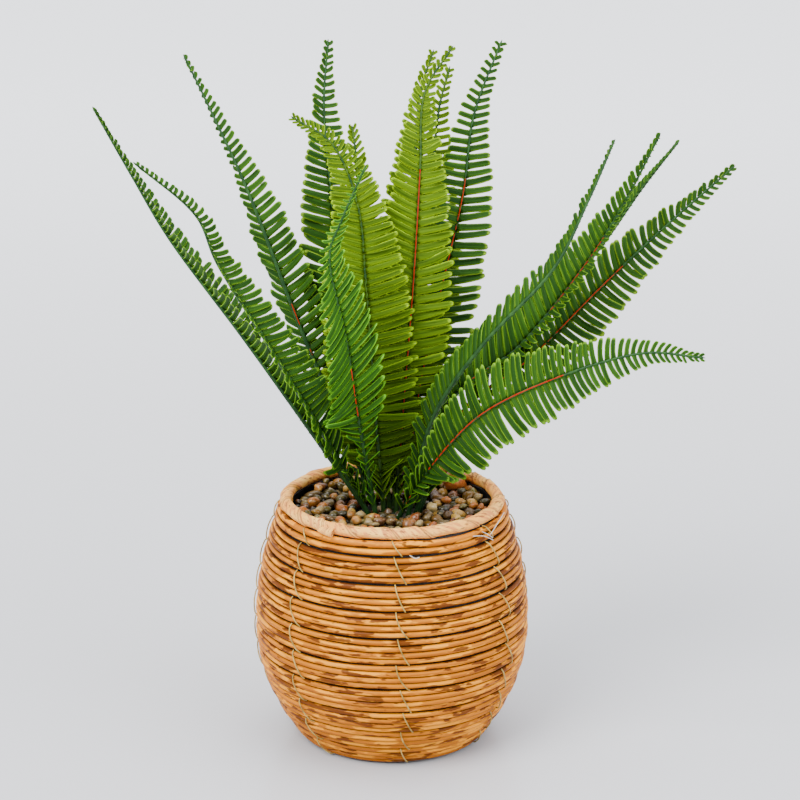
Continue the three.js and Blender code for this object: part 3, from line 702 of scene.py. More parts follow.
def cane_finish(pot):
    """Lacquered cane with dashes and stretches of its own on each rod, a painted highlight on top of
    each rod, and painted shade under it and between rods.
    """
    def colour_of(paint):
        place = paint.place()
        rod = paint.attribute("rod")

        def grain(cells_per_metre, apart, **clouds):
            return paint.clouds(paint.stretched(place, cells_per_metre, rod * apart), **clouds)

        dashes = grain((62, 62, 300), 7.3, detail=3, roughness=0.55)
        brown = grain((75, 75, 420), 11.1, detail=3, roughness=0.6)
        pale = grain((62, 62, 330), 4.9, detail=3)
        patches = grain((30, 30, 90), 0.6, detail=2)
        fibres = grain((60, 60, 3600), 1.7, detail=3)
        colour = patches.ramped(0.35, 0.65).mixed(pot.cane_warm_and_shade_colour, pot.cane_colour)
        colour = (brown.ramped(0.5, 0.57) * 0.75).mixed(colour, pot.cane_warm_and_shade_colour)
        colour = (pale.ramped(0.52, 0.59) * 0.85).mixed(colour, pot.cane_pale_and_highlight_colour)
        colour = (fibres.ramped(0.45, 0.75) * 0.4).mixed(colour, pot.cane_warm_and_shade_colour)
        facing = paint.attribute("facing", "Vector")
        rise = paint.node("ShaderNodeSeparateXYZ", inputs={"Vector": facing}, output="Z")
        # Painted light on each rod: a paler highlight where its surface faces up, and a redder painted
        # shade where it faces down.
        colour = (rise.ramped(-0.1, 0.5) * 0.18).mixed(colour, pot.cane_pale_and_highlight_colour)
        colour = ((1 - rise.ramped(-0.7, 0.1)) * 0.5).mixed(colour, pot.cane_warm_and_shade_colour)
        spots = (dashes + patches * 0.1).ramped(0.6, 0.64)
        colour = (spots * 0.9).mixed(colour, pot.cane_dash_colour)
        outward_way = paint.node(
            "ShaderNodeVectorMath", {"operation": "NORMALIZE"},
            {0: paint.stretched(place, (1, 1, 0))},
        )
        crest = paint.node(
            "ShaderNodeVectorMath", {"operation": "DOT_PRODUCT"},
            {0: outward_way, 1: facing}, output="Value",
        )
        # Painted shade in the grooves between rods, where the surface turns away from the outside. The
        # top rod's upper side is left out of it.
        bare = rod.ramped(TOP_ROD - 0.6, TOP_ROD - 0.4) * rise.ramped(-0.1, 0.2)
        groove_shade = (1 - crest.ramped(0.1, 0.85)) * (0.9 - bare * 0.8)
        colour = groove_shade.mixed(colour, pot.cane_groove_shade_colour)
        return {
            "Base Color": colour,
            "Roughness": 0.34 + fibres * 0.2,
            "Normal": paint.bumped(fibres + spots * 0.3, 0.35, 0.0003),
        }

    return painted("cane_lacquer", colour_of, **{
        "Specular IOR Level": 0.05, "Coat Weight": 0.08, "Coat Roughness": 0.2,
    })


def husk_finish(pot):
    """Bleached husk strips with pink streaks and darker edges."""
    def colour_of(paint):
        strip = paint.attribute("strip")
        across = paint.attribute("across")
        place = paint.place()
        along = paint.attribute("fibre", output="Vector")
        streaks = paint.clouds(paint.stretched(along, (22, 760, 1), strip * 9), detail=4)
        veins = paint.stretched(along, (60, 420, 1), strip * 5)
        veins = paint.clouds(veins, detail=3, roughness=0.6)
        cloudy = paint.clouds(place, 90, 3)
        colour = cloudy.ramped(0.35, 0.7).mixed(pot.husk_colour, pot.husk_pale_colour)
        colour = (streaks.ramped(0.48, 0.6) * 0.75).mixed(colour, pot.husk_streak_colour)
        colour = (veins.ramped(0.57, 0.64) * 0.75).mixed(colour, pot.husk_edge_colour)
        far_edge = across.ramped(0.93, 1.0) * 0.8
        near_edge = (1 - across.ramped(0.0, 0.1)) * 0.6
        edge = paint.maths("MAXIMUM", far_edge, near_edge)
        colour = edge.mixed(colour, pot.husk_edge_colour)
        return {
            "Base Color": colour,
            "Roughness": 0.5 + streaks * 0.25,
            "Normal": paint.bumped(streaks + veins, 0.45, 0.0005),
        }

    return painted("corn_husk", colour_of, **{"Specular IOR Level": 0.25})


def wire_finish(pot):
    def colour_of(paint):
        tint = paint.clouds(paint.place(), 260, 2)
        colour = tint.ramped(0.3, 0.7).mixed(pot.wire_colour, pot.wire_worn_colour)
        colour = paint.attribute("silver").mixed(colour, pot.wire_silver_colour)
        return {"Base Color": colour, "Roughness": 0.32 + tint * 0.2}

    return painted("stitch_wire", colour_of, Metallic=0.35)


def speckled_finish(name, first, second, scale, roughness, depth):
    """A matt finish of two colours in small clouds, for what hardly shows."""
    def colour_of(paint):
        grain = paint.clouds(paint.place(), scale, 5, 0.65)
        return {
            "Base Color": grain.ramped(0.35, 0.65).mixed(first, second),
            "Roughness": roughness + grain * 0.1,
            "Normal": paint.bumped(grain, 0.6, depth),
        }

    return painted(name, colour_of)


def wood_finish(name, first, second):
    def colour_of(paint):
        place = paint.place()
        rings = paint.clouds(paint.stretched(place, (18, 260, 60)), detail=4, roughness=0.6)
        return {
            "Base Color": rings.ramped(0.35, 0.7).mixed(first, second),
            "Roughness": 0.6 + rings * 0.2,
            "Normal": paint.bumped(rings, 0.4, 0.0003),
        }

    return painted(name, colour_of)


# What colours pebbles have, by their tone.
PEBBLE_COLOURS = (
    (0.0, (0.10, 0.075, 0.014)), (0.1, (0.32, 0.13, 0.010)), (0.2, (0.60, 0.36, 0.07)),
    (0.3, (0.50, 0.14, 0.03)), (0.4, (0.02, 0.018, 0.008)), (0.5, (0.17, 0.13, 0.022)),
    (0.6, (0.035, 0.033, 0.02)), (0.7, (0.46, 0.13, 0.010)), (0.8, (0.19, 0.13, 0.04)),
    (0.9, (0.08, 0.033, 0.008)), (1.0, (0.76, 0.57, 0.24)),
)


def pebble_finish(gravel):
    def colour_of(paint):
        place = paint.place()
        tone = paint.attribute("tone")
        mottle = paint.clouds(place, 380, 4, 0.6)
        veins = paint.clouds(paint.stretched(place, (180, 420, 700), tone * 31), detail=3)
        colour = paint.node(
            "ShaderNodeValToRGB", {"stops": PEBBLE_COLOURS},
            {"Fac": tone + (mottle - 0.5) * 0.13},
        )
        colour = (veins.ramped(0.58, 0.68) * 0.45).mixed(colour, gravel.vein_colour)
        colour = (mottle.ramped(0.35, 0.7) * 0.6).mixed(colour, gravel.shade_colour, "MULTIPLY")
        # Painted shade down between the pebbles: the lower a point lies, the darker it is.
        height = paint.node("ShaderNodeSeparateXYZ", inputs={"Vector": place}, output="Z")
        colour = (1 - height.ramped(0.1165, 0.126)).mixed(colour, gravel.deep_shade_colour, "MULTIPLY")
        return {
            "Base Color": colour,
            "Roughness": 0.16 + mottle * 0.26,
            "Normal": paint.bumped(mottle, 0.35, 0.0006),
        }

    return painted("river_pebble", colour_of, **{
        "Specular IOR Level": 0.25, "Coat Weight": 0.3, "Coat Roughness": 0.08,
    })


# The dark middle of the plant, low among the stems, and how far its shade reaches, in metres.
HEART, HEART_SHADE = (0, 0.013, 0.13), (0.018, 0.125)


def shaded_heart(paint, colour, foliage):
    """A colour, darker towards the middle of the plant."""
    apart = paint.node(
        "ShaderNodeVectorMath", {"operation": "DISTANCE"}, {0: paint.place(), 1: HEART},
        output="Value",
    )
    return (1 - apart.ramped(*HEART_SHADE)).mixed(colour, foliage.shadow_colour, "MULTIPLY")


def leaf_finish(tone, foliage):
    """Moulded green with yellower margins, painted shade in streaks along it and at its foot, each
    leaflet a little its own.
    """
    centre = getattr(foliage, f"{tone}_colour")
    margin = getattr(foliage, f"{tone}_margin_colour")
    fresh = getattr(foliage, f"{tone}_fresh_colour")

    def colour_of(paint):
        across = paint.attribute("across")
        along = paint.attribute("along")
        own = paint.attribute("tone")
        place = paint.place()
        mottle = paint.clouds(place, 330, 3, 0.6)
        fine = paint.clouds(place, 1500, 2, 0.6)
        streaks = paint.clouds(paint.joined(across * 4.5, along * 1.3, own * 40), detail=3)
        shade = (own * 0.5 + streaks).ramped(0.4, 1.05)
        colour = shade.mixed(centre, fresh)
        edge = (abs(across) + (streaks - 0.5) * 0.35).ramped(0.62, 0.88)
        tip = (along + (mottle - 0.5) * 0.12).ramped(0.88, 1.0)
        colour = paint.maths("MAXIMUM", edge, tip).mixed(colour, margin)
        # Painted shade: a streaky dark band along the middle of each leaflet, a little to one side,
        # and darker at its foot by the rib.
        deep = (1 - abs(across + 0.15).ramped(0.0, 0.42)) * streaks.ramped(0.35, 0.6)
        deep = paint.maths("MAXIMUM", deep * 0.75, (1 - along.ramped(0.0, 0.16)) * 0.6)
        colour = deep.mixed(colour, foliage.deep_shade_colour)
        colour = shaded_heart(paint, colour, foliage)
        return {
            "Base Color": colour,
            "Roughness": 0.4 + fine * 0.2,
            "Normal": paint.bumped(fine + mottle * 0.8 + streaks, 0.3, 0.0003),
        }

    return painted(f"fern_{tone}", colour_of, **{"Specular IOR Level": 0.05})


def rib_finish(tone, foliage):
    pale = foliage.rib_olive_colour if tone == "light" else foliage.rib_pale_colour

    def colour_of(paint):
        place = paint.place()
        grain = paint.clouds(paint.stretched(place, (420, 420, 160)), detail=3)
        colour = grain.ramped(0.35, 0.65).mixed(foliage.rib_colour, pale)
        return {
            "Base Color": shaded_heart(paint, colour, foliage),
            "Roughness": 0.42 + grain * 0.15,
            "Normal": paint.bumped(grain, 0.3, 0.0002),
        }

    return painted(f"fern_rib_{tone}", colour_of, **{"Specular IOR Level": 0.15})


def core_finish(foliage):
    def colour_of(paint):
        wear = paint.clouds(paint.place(), 240, 3, 0.6)
        return {
            "Base Color": wear.ramped(0.56, 0.72).mixed(foliage.core_colour, foliage.rib_colour),
            "Roughness": 0.4 + wear * 0.15,
        }

    return painted("rib_core_wire", colour_of, **{"Specular IOR Level": 0.1})


# Cane, rim, stitches.


def waver(around, waves, *place):
    """Noise on the way round the pot, from -1 to 1, with its own place for each use."""
    return noise.noise(around * waves + Vector(place))


def cane_course_mesh(index, pot):
    """The rods of one course as closed lines, each a little uneven along its length."""
    rods, start, end = course_span(index)
    gap = pot.course_gap / MM
    pitch = (end - start - gap) / rods
    points, edges, radii, numbers = [], [], [], []
    for rod in range(rods):
        number = index * RODS_PER_COURSE + rod
        first = len(points)
        for step in range(ROD_POINTS):
            turn = step / ROD_POINTS * 2 * math.pi
            around = Vector((math.cos(turn), math.sin(turn), 0))
            sway = waver(around, 1.3, 0, 0, index * 3.7) * pot.rod_sway
            sway += waver(around, 2.6, 7, 0, number * 1.9) * pot.rod_sway * OWN_SWAY
            thick = waver(around, 4, 9, 0, number * 5.1)
            radius = pitch / 2 * (ROD_FULLNESS + ROD_VARIATION * thick)
            deep = pitch / 2 + ROD_SINK * (1 + waver(around, 2, 0, 5, number * 2.3))
            deep += COURSE_ROUNDING * ((rod + 0.5) / rods * 2 - 1) ** 2
            at = start + gap / 2 + (rod + 0.5) * pitch + sway / MM
            across, height = pot_point(at, deep)
            if index == FULL_COURSES:
                height += top_course_lift(turn, rod)
                radius *= TOP_ROD_SWELL
            points.append(Vector((across * around.x, across * around.y, height)) * MM)
            radii.append(radius * MM)
            numbers.append(float(number))
            edges.append((first + step, first + (step + 1) % ROD_POINTS))
    return mesh_of(f"cane_rods_{index + 1:02d}", points, edges, attributes={
        "radius": ("FLOAT", radii), "rod": ("FLOAT", numbers),
    })


def top_course_lift(turn, rod):
    """How far a rod of the top course is pressed up under the rim: least at the front right."""
    apart = math.degrees(turn) - (TOP_GAP_ANGLE - 90) % 360
    apart = abs((apart + 180) % 360 - 180)
    return TOP_COURSE_LIFTS[rod] * lerp(LEAST_LIFT, 1, smoothstep(apart, *TOP_GAP_SPREAD))


def uneven(turn):
    """A share of the way round, pushed to and fro so that strips differ in width."""
    return turn + 0.014 * math.sin(turn * 4 * math.pi + 1) + 0.008 * math.sin(turn * 14 * math.pi)


def husk_thickness(here, turn, share, strip):
    """Half the thickness of the bound hoop, at a share of the turn round its bar."""
    spin = 2 * math.pi * turn
    wrinkle = Vector((share * 5, turn * 2.2, strip * 4.4))
    crease = noise.noise(wrinkle) * 0.16 + noise.noise(wrinkle * 3.1) * 0.1
    lump = noise.noise(here * 3.4 + Vector((0, 0, spin * 0.5))) * 0.14
    thick = RIM_BAR_RADIUS - HUSK_INSET + HUSK_LAP * share ** 2.5 + crease + lump
    thick += HUSK_FULLNESS * smoothstep(math.sin(spin), -0.75, -0.1)
    if math.sin(spin) < 0.3:
        thick += HUSK_BULGE * smoothstep(math.cos(spin), 0.3, 0.8)
    return thick


def rim_mesh():
    """The rim hoop, bound in a helix of husk strips that overlap like scales."""
    columns = HUSK_STRIPS * STRIP_POINTS
    middle = RIM_OUTER_RADIUS - RIM_BAR_RADIUS
    points, across, strip_tone, fibre = [], [], [], []
    dice = random.Random(HUSK_SEED)
    tones = [dice.random() for _ in range(HUSK_STRIPS)]
    for column in range(columns):
        strip, step = divmod(column, STRIP_POINTS)
        share = step / (STRIP_POINTS - 1)
        for corner in range(BAR_POINTS):
            turn = corner / BAR_POINTS
            spin = 2 * math.pi * turn
            angle = 2 * math.pi * uneven(column / columns - turn / HUSK_STRIPS)
            here = Vector((math.cos(angle), math.sin(angle), 0))
            thick = husk_thickness(here, turn, share, strip)
            reach = middle + thick * math.cos(spin)
            height = RIM_HEIGHT - HUSK_DOWN + thick * math.sin(spin)
            points.append(Vector((reach * here.x, reach * here.y, height)) * MM)
            across.append(share)
            strip_tone.append(tones[strip])
            fibre.append((turn * 0.2, share * 0.012, strip * 0.37))

    def corner_at(column, corner):
        """The number of a point. A full turn round the bar ends a strip further back."""
        if corner == BAR_POINTS:
            column, corner = column - STRIP_POINTS, 0
        return column % columns * BAR_POINTS + corner

    faces = [
        (corner_at(column, corner), corner_at(column + 1, corner),
         corner_at(column + 1, corner + 1), corner_at(column, corner + 1))
        for column in range(columns) for corner in range(BAR_POINTS)
    ]
    faces.extend(curl_faces(len(points)))
    for place, along, share in curl_points():
        points.append(place)
        across.append(0.5)
        strip_tone.append(0.3)
        fibre.append((along * 0.06, share * 0.02, 5.0))
    return outward(mesh_of("husk_rim", points, faces=faces, attributes={
        "across": ("FLOAT", across), "strip": ("FLOAT", strip_tone),
        "fibre": ("FLOAT_VECTOR", fibre),
    }))


def curl_line():
    """The line of the curled end of husk: distances out and up, before it is scaled."""
    line = [Vector(place) for place in CURL_START]
    for step in range(CURL_STEPS):
        turn = math.radians(CURL_FIRST_TURN - step * CURL_TURN)
        reach = lerp(*CURL_RADII, step / (CURL_STEPS - 1))
        out, up = CURL_MIDDLE
        line.append(Vector((out + reach * math.cos(turn), up + reach * math.sin(turn))))
    return line


def curl_points():
    """Places on both skins of the curled end, with their shares along and across it."""
    line = curl_line()
    last = len(line) - 1
    for column in range(CURL_COLUMNS):
        share = column / (CURL_COLUMNS - 1)
        degrees = lerp(*CURL_ANGLES, share)
        size = lerp(*CURL_SIZES, share ** 0.7)
        for skin in (CURL_HALF_THICKNESS, -CURL_HALF_THICKNESS):
            for step, (out, up) in enumerate(line):
                along = (line[min(step + 1, last)] - line[max(step - 1, 0)]).normalized()
                reach = RIM_OUTER_RADIUS + CURL_OUT + (out - skin * along.y) * size
                height = RIM_HEIGHT - CURL_DOWN + (up + skin * along.x) * size
                yield beside_pot(reach, degrees, height), step / len(line), share


def curl_faces(first):
    """Faces of the curled end: both skins, the edges along it and the two cut ends."""
    steps = len(CURL_START) + CURL_STEPS
    ahead = 2 * steps
    for column in range(CURL_COLUMNS):
        start = first + column * ahead
        for front in range(start, start + steps - 1):
            back = front + steps
            if column in (0, CURL_COLUMNS - 1):
                yield front, front + 1, back + 1, back
            if column < CURL_COLUMNS - 1:
                yield front, front + 1, front + 1 + ahead, front + ahead
                yield back, back + 1, back + 1 + ahead, back + ahead
        if column < CURL_COLUMNS - 1:
            for front in (start, start + steps - 1):
                yield front, front + steps, front + steps + ahead, front + ahead


def stitch_line(angle, index, dice):
    """One stitch over a course: out of the gap above it, down on a slant, into the gap below."""
    _, start, end = course_span(index)
    bottom = max(start, LOWEST_STITCH)
    lift = top_course_lift(math.radians(angle - 90), 1) if index == FULL_COURSES else 0
    angle += STITCH_LEAN * (1 - 2 * index / FULL_COURSES) + dice.gauss(0, STITCH_DRIFT)
    left = angle - STITCH_SLANT + dice.uniform(*LEFT_STRAY)
    right = angle + STITCH_SLANT + dice.uniform(*RIGHT_STRAY)
    turned = dice.uniform(0, STITCH_TURN)
    proud = STITCH_PROUD + dice.uniform(0, STITCH_EXTRA)
    points = []
    for step in range(STITCH_SPANS + 1):
        share = step / STITCH_SPANS
        slide = lerp(share ** 1.9, math.sin(share * math.pi / 2), turned)
        depth = lerp(STITCH_DEPTH, -proud, math.sin(share * math.pi) ** 0.4)
        radius, height = pot_point(lerp(end, bottom, share), depth)
        points.append(beside_pot(radius, lerp(left, right, slide), height))
        points[-1].z += lift * (1 - share) * MM
    return points


def wire_ends(angle):
    """Lines of the cut wire ends beside the stitches at an angle."""
    for places in WIRE_ENDS:
        if abs(places[-1][0] - angle) < WIRE_END_NEAR:
            yield [beside_pot(reach, degrees, height) for degrees, height, reach in places]


def rounded(points, steps=3):
    """More points on a smooth line through these."""
    last = len(points) - 1
    line = []
    for index in range(last):
        before, after = points[max(index - 1, 0)], points[min(index + 2, last)]
        start, end = points[index], points[index + 1]
        line.extend(curve_point(before, start, end, after, step / steps) for step in range(steps))
    return [*line, points[-1]]


def wire_mesh(name, lines):
    """Lines of edges for wires, given as (points, radius, 1 for silver or 0)."""
    points, edges, radii, silver = [], [], [], []
    for line, radius, bright in lines:
        first = len(points)
        points.extend(line)
        radii.extend([radius] * len(line))
        silver.extend([float(bright)] * len(line))
        edges.extend((at, at + 1) for at in range(first, len(points) - 1))
    return mesh_of(name, points, edges, attributes={
        "radius": ("FLOAT", radii), "silver": ("FLOAT", silver),
    })


# Pebbles.


def pebble_shapes():
    """Chipped stones of unit size: balls cut flat on some sides and pushed about by noise."""
    meshes = []
    dice = random.Random(SHAPE_SEED)
    for number in range(PEBBLE_SHAPES):
        cuts = [
            Vector([dice.gauss(0, 1) for _ in range(3)]).normalized() for _ in range(PEBBLE_CUTS)
        ]
        depths = [dice.uniform(*CUT_DEPTHS) for _ in cuts]
        ball = bmesh.new()
        bmesh.ops.create_uvsphere(
            ball, u_segments=PEBBLE_SIDES, v_segments=PEBBLE_RINGS, radius=1)
        for vertex in ball.verts:
            spot = vertex.co * 0.8 + Vector((number * 7.7, 0, 0))
            cut_off = [depth / max(cut.dot(vertex.co), 0.01) for cut, depth in zip(cuts, depths)]
            swell = 1 + noise.noise(spot) * 0.4 + noise.noise(spot * 2.4) * 0.12
            vertex.co *= min(PEBBLE_CORNERS, *cut_off) * swell
        mesh = bpy.data.meshes.new(f"pebble_{number}")
        ball.to_mesh(mesh)
        ball.free()
        meshes.append(mesh)
    return meshes


def rest_height(spot, radius, placed):
    """How high a pebble comes to rest at a spot, on the filler or on those already there."""
    level = FILLER_BOSS_TOP if spot[0] ** 2 + spot[1] ** 2 < FILLER_BOSS_RADIUS ** 2 else FILLER_TOP
    height = level + radius * PEBBLE_SEAT
    if placed:
        others = np.array(placed)
        apart = np.hypot(others[:, 0] - spot[0], others[:, 1] - spot[1])
        touching = (others[:, 3] + radius) * PEBBLE_NESTLING
        near = apart < touching
        if near.any():
            lift = np.sqrt(touching[near] ** 2 - apart[near] ** 2) * PEBBLE_STACKING
            height = max(height, (others[near, 2] + lift).max())
    return height


def below_rim(spot, height, radius):
    """True for a pebble that keeps clear of the rim's hoop."""
    inwards = RIM_OUTER_RADIUS - RIM_BAR_RADIUS - math.hypot(*spot)
    apart = math.hypot(inwards, RIM_HEIGHT - height)
    return apart > RIM_BAR_RADIUS + RIM_ROOM + radius * PEBBLE_CORNERS


def best_seat(dice, radius, stems, placed):
    """The lowest of the places tried for a pebble: height over the dish, spot and height."""
    best = None
    for _ in range(PEBBLE_TRIES):
        turn, reach = dice.random() * 2 * math.pi, math.sqrt(dice.random())
        reach *= GRAVEL_RADIUS - radius - WALL_ROOM
        spot = (reach * math.cos(turn), reach * math.sin(turn))
        to_stem = np.hypot(stems[:, 0] - spot[0], stems[:, 1] - spot[1]).min()
        if to_stem < radius + STEM_ROOM:
            continue
        height = rest_height(spot, radius, placed)
        above = height + GRAVEL_DISH * (1 - (reach / GRAVEL_RADIUS) ** 2)
        if below_rim(spot, height, radius) and (best is None or above < best[0]):
            best = (above, spot, height)
    return best


def pebble_places(gravel):
    """Where the pebbles lie, dropped one by one round the stems: x, y, z and radius."""
    dice = random.Random(gravel.seed)
    stems = np.array([frond["root"] for frond in FRONDS.values()], float)
    lines = [FrondLine(frond) for frond in FRONDS.values()]
    ribs = np.array([
        line.place(step / line.length) for line in lines for step in range(RIB_POINTS_IN_GRAVEL)
    ])
    placed = []
    for number in range(gravel.pebble_count):
        grade = dice.random() ** PEBBLE_GRADING
        radius = lerp(gravel.smallest, gravel.largest, grade) / MM / 2
        if number / gravel.pebble_count < FIRST_PEBBLES:
            radius = lerp(*FIRST_RADII, dice.random())
        best = best_seat(dice, radius, stems, placed)
        if not best or best[0] + radius > GRAVEL_TOP + GRAVEL_HEAP:
            continue
        to_rib = np.linalg.norm(ribs - (*best[1], best[2]), axis=1).min()
        if to_rib > radius * RIB_SPREAD + RIB_ROOM:
            placed.append((*best[1], best[2], radius))
    placed.extend(stone[:4] for stone in BIG_STONES)
    return np.array(placed)


def pebble_mesh(gravel):
    """Points for the pebbles, each with its turn, stretch, tone and kind of shape."""
    places = pebble_places(gravel)
    dice = random.Random(gravel.seed + 5)
    turns, stretches, tones, shapes = [], [], [], []
    for radius in places[:, 3]:
        spin = Quaternion((0, 0, 1), dice.random() * 2 * math.pi)
        tip = Quaternion((1, 0, 0), math.radians(dice.gauss(0, PEBBLE_TIP)))
        turns.append(spin @ tip)
        stretches.append([
            radius * MM * lerp(*spread, dice.random()) for spread in PEBBLE_STRETCHES
        ])
        tones.append(dice.random())
        shapes.append(dice.randrange(PEBBLE_SHAPES))
    for at, (*_, size, tone) in enumerate(BIG_STONES, len(tones) - len(BIG_STONES)):
        stretches[at] = [length * MM for length in size]
        tones[at] = tone
    return mesh_of("pebbles", places[:, :3] * MM, attributes={
        "turn": ("QUATERNION", turns), "stretch": ("FLOAT_VECTOR", stretches),
        "tone": ("FLOAT", tones), "shape": ("INT", shapes),
    })


# Fronds.


# A leaflet of unit length and half width: the rows and columns where its points stand, its half
# width at each row, how thick it is at each column, and how far its middle stands up.
LEAFLET_ROWS = (0.0, 0.12, 0.36, 0.62, 0.84, 0.955, 1.0)
LEAFLET_HALF_WIDTHS = (1.3, 1.1, 0.98, 0.99, 0.94, 0.72, 0.32)
LEAFLET_COLUMNS = (-1.0, -0.5, 0.0, 0.5, 1.0)
LEAFLET_CROWN = (0.0, 0.012, 0.011, 0.012, 0.0)
LEAFLET_CAMBER = 0.022

# Kinds of leaflet, how far they bow to either side and arch, and how far their middles lie
# aside. The golden share spreads the arches over the kinds, and each kind has its own twist in
# degrees and ruffle.
LEAFLET_VARIANTS, MOST_BOW, ARCHES, ASIDE = 8, 1.5, (0.03, 0.17), 0.4
GOLDEN_SHARE, TWISTS, MOST_RUFFLE, LEAFLET_SEED = 0.618, (-14, 20), 0.016, 100

# Shares of the rib between which leaflets narrow to the tip, taper, stop being low ones, take
# up their sweep and grow calm, and where they start to open.
NARROWING, TAPERING, LOW_PART = (0.42, 1.08), (0.58, 0.84), (0.2, 0.36)
SWEEPING, CALMING, FIRST_OPENING = (0.2, 0.42), (0.04, 0.4), 0.05

# Length of a folded leaflet as a share, how much it gains when open and loses at the tip, the
# narrowest one's width as a share, and the pitch from which leaflets have their full width.
FOLDED_LENGTH, OPENING_GAIN, TIP_LOSS = 0.6, 0.4, 0.89
NARROWEST, FULL_WIDTH_PITCH = 0.28, 4.6

# Angles in degrees: a folded leaflet's to the rib, what it gains when open, the least, and how
# far a folded one is lifted and rolled. Leaflets close by these angles from these shares on.
FOLDED_ANGLE, OPENING_ANGLE, LEAST_ANGLE, FOLDED_LIFT, FOLDED_ROLL = 26, 54, 22, 26, 34
CLOSING = ((24, 0.7), (12, 0.9))

# How leaflets differ: spreads of their angles and curl, and what their size may lose. All but
# the curl's grow towards the foot of the rib, by this many times themselves.
LEAN_SPREAD, COMB_SPREAD, ROLL_SPREAD, CURL_SPREAD = 4, 1.7, 4, 0.12
SIZE_LOSS, LOW_UNRULINESS = (-0.05, 0.07), 3

# Where a leaflet is tested for room, as shares of its length and half width.
TEST_ROWS = (0.12, 0.25, 0.38, 0.5, 0.62, 0.74, 0.86, 1.0)
TEST_COLUMNS = (-0.95, -0.5, 0, 0.5, 0.95)

# How deep a leaflet's foot is in the rib, as a share of its radius, how far the second row is
# shifted, and how much closer leaflets stand at the tip than at the foot.
FOOT_SINK, ROW_SHIFT, CROWDING = 0.35, 0.12, 0.22

# The last leaflet: its place on the rib, length, half width and tone.
TIP_PLACE, TIP_LENGTH, TIP_HALF_WIDTH, TIP_TONE = 0.99, 5.5, 0.75, 0.7

# How a leaflet is bent in degrees and shortened until it has room.
BENDS = tuple(
    (bend, shorter) for shorter in (1, 0.85, 0.68, 0.5) for bend in (0, 9, -9, 18, -18, 28, -28, 40)
)

# Points in a span of a rib's line, how far its direction is read from, as a share, the spacing
# of the points that keep it free, and their share of its radius.
SPAN_POINTS, AXIS_REACH, SURFACE_SPACING, SURFACE_SHARE = 60, 0.005, 1.2, 0.9

# What leaflets leave free over the gravel inside this radius, and round the rim outside it.
RIM_INSIDE, GRAVEL_ROOM, LEAF_ROOM = 49, 3.5, 1.6

# The steps from a cell of filled space to itself and to its neighbours.
NEIGHBOURS = tuple(itertools.product((-1, 0, 1), repeat=3))


def leaflet_bow(number):
    """How far a leaflet of this kind curls towards the tip, in its own half widths."""
    return lerp(-MOST_BOW, MOST_BOW, number % LEAFLET_VARIANTS / (LEAFLET_VARIANTS - 1))


def leaflet_arch(number):
    """How far a leaflet of this kind bends down at its tip, in its own lengths."""
    return lerp(*ARCHES, number % LEAFLET_VARIANTS * GOLDEN_SHARE % 1)


def leaflet_drift(number, hand, reach):
    """How far the middle of a leaflet lies aside of a straight line, in its own half widths."""
    return hand * (leaflet_bow(number) * reach ** 2 - ASIDE * math.sin(math.pi * reach))


def leaflet_shape(number, hand):
    """A strap of unit length and half width: crowned, arched and closed along its edge."""
    dice = random.Random(LEAFLET_SEED + number)
    arch = leaflet_arch(number)
    twist = math.radians(dice.uniform(*TWISTS))
    ruffle = dice.uniform(0, MOST_RUFFLE)
    last_row, last_column = len(LEAFLET_ROWS) - 1, len(LEAFLET_COLUMNS) - 1
    points, across, along, index = [], [], [], {}
    for side in (1, -1):
        for row, reach in enumerate(LEAFLET_ROWS):
            drift = leaflet_drift(number, hand, reach)
            for column, out in enumerate(LEAFLET_COLUMNS):
                border = row in (0, last_row) or column in (0, last_column)
                if border and side < 0:
                    index[side, row, column] = index[1, row, column]
                    continue
                x = out * LEAFLET_HALF_WIDTHS[row]
                z = side * LEAFLET_CROWN[column] * (0 if border else 1)
                z += LEAFLET_CAMBER * (1 - out ** 2) * (1 - reach ** 6)
                z += x * math.tan(twist * reach) * 0.1
                z += ruffle * out * math.sin(reach * 17 + number)
                z -= arch * reach ** 2
                index[side, row, column] = len(points)
                points.append((x + drift, reach, z))
                across.append(out)
                along.append(reach)
    faces = []
    for side in (1, -1):
        for row in range(last_row):
            for column in range(last_column):
                corners = [
                    index[side, row, column], index[side, row, column + 1],
                    index[side, row + 1, column + 1], index[side, row + 1, column],
                ]
                faces.append(corners if side > 0 else corners[::-1])
    return mesh_of(f"leaflet_{number:02d}", points, faces=faces, attributes={
        "across": ("FLOAT", across), "along": ("FLOAT", along),
    })


class FrondLine:
    """The smooth line of a frond's rib, with the way that its upper side faces."""

    def __init__(self, frond):
        self.frond = {**PLAIN_FROND, **frond}
        stops = np.array([(*frond["root"], STEM_TOP), *frond["path"]], float)
        ends = np.vstack([2 * stops[0] - stops[1], stops, 2 * stops[-1] - stops[-2]])
        shares = np.linspace(0, 1, SPAN_POINTS, endpoint=False)[:, None]
        spans = [curve_point(*ends[at:at + 4], shares) for at in range(len(stops) - 1)]
        self.line = np.vstack([*spans, stops[-1:]])
        steps = np.linalg.norm(np.diff(self.line, axis=0), axis=1)
        self.arc = np.concatenate([[0], np.cumsum(steps)])
        self.length = self.arc[-1]

    def place(self, share):
        at = share * self.length
        return Vector([np.interp(at, self.arc, self.line[:, axis]) for axis in range(3)])

    def axes(self, share):
        """Along the rib, out of its upper side, and to its side."""
        ahead, behind = min(share + AXIS_REACH, 1), max(share - AXIS_REACH, 0)
        along = (self.place(ahead) - self.place(behind)).normalized()
        up = Vector(self.frond["face"]).lerp(Vector(self.frond["tip_face"]), share)
        up = (up - along * up.dot(along)).normalized()
        return along, up, up.cross(along)

    @staticmethod
    def radius(share):
        return lerp(*RIB_RADII, min(max(share, 0), 1))

    def surface(self):
        """Points spread over the rib, to keep leaflets of other fronds off it."""
        steps = round(self.length / SURFACE_SPACING)
        for share in (step / steps for step in range(steps + 1)):
            _, up, side = self.axes(share)
            for way in (up, -up, side, -side):
                yield self.place(share) + way * (self.radius(share) * SURFACE_SHARE)


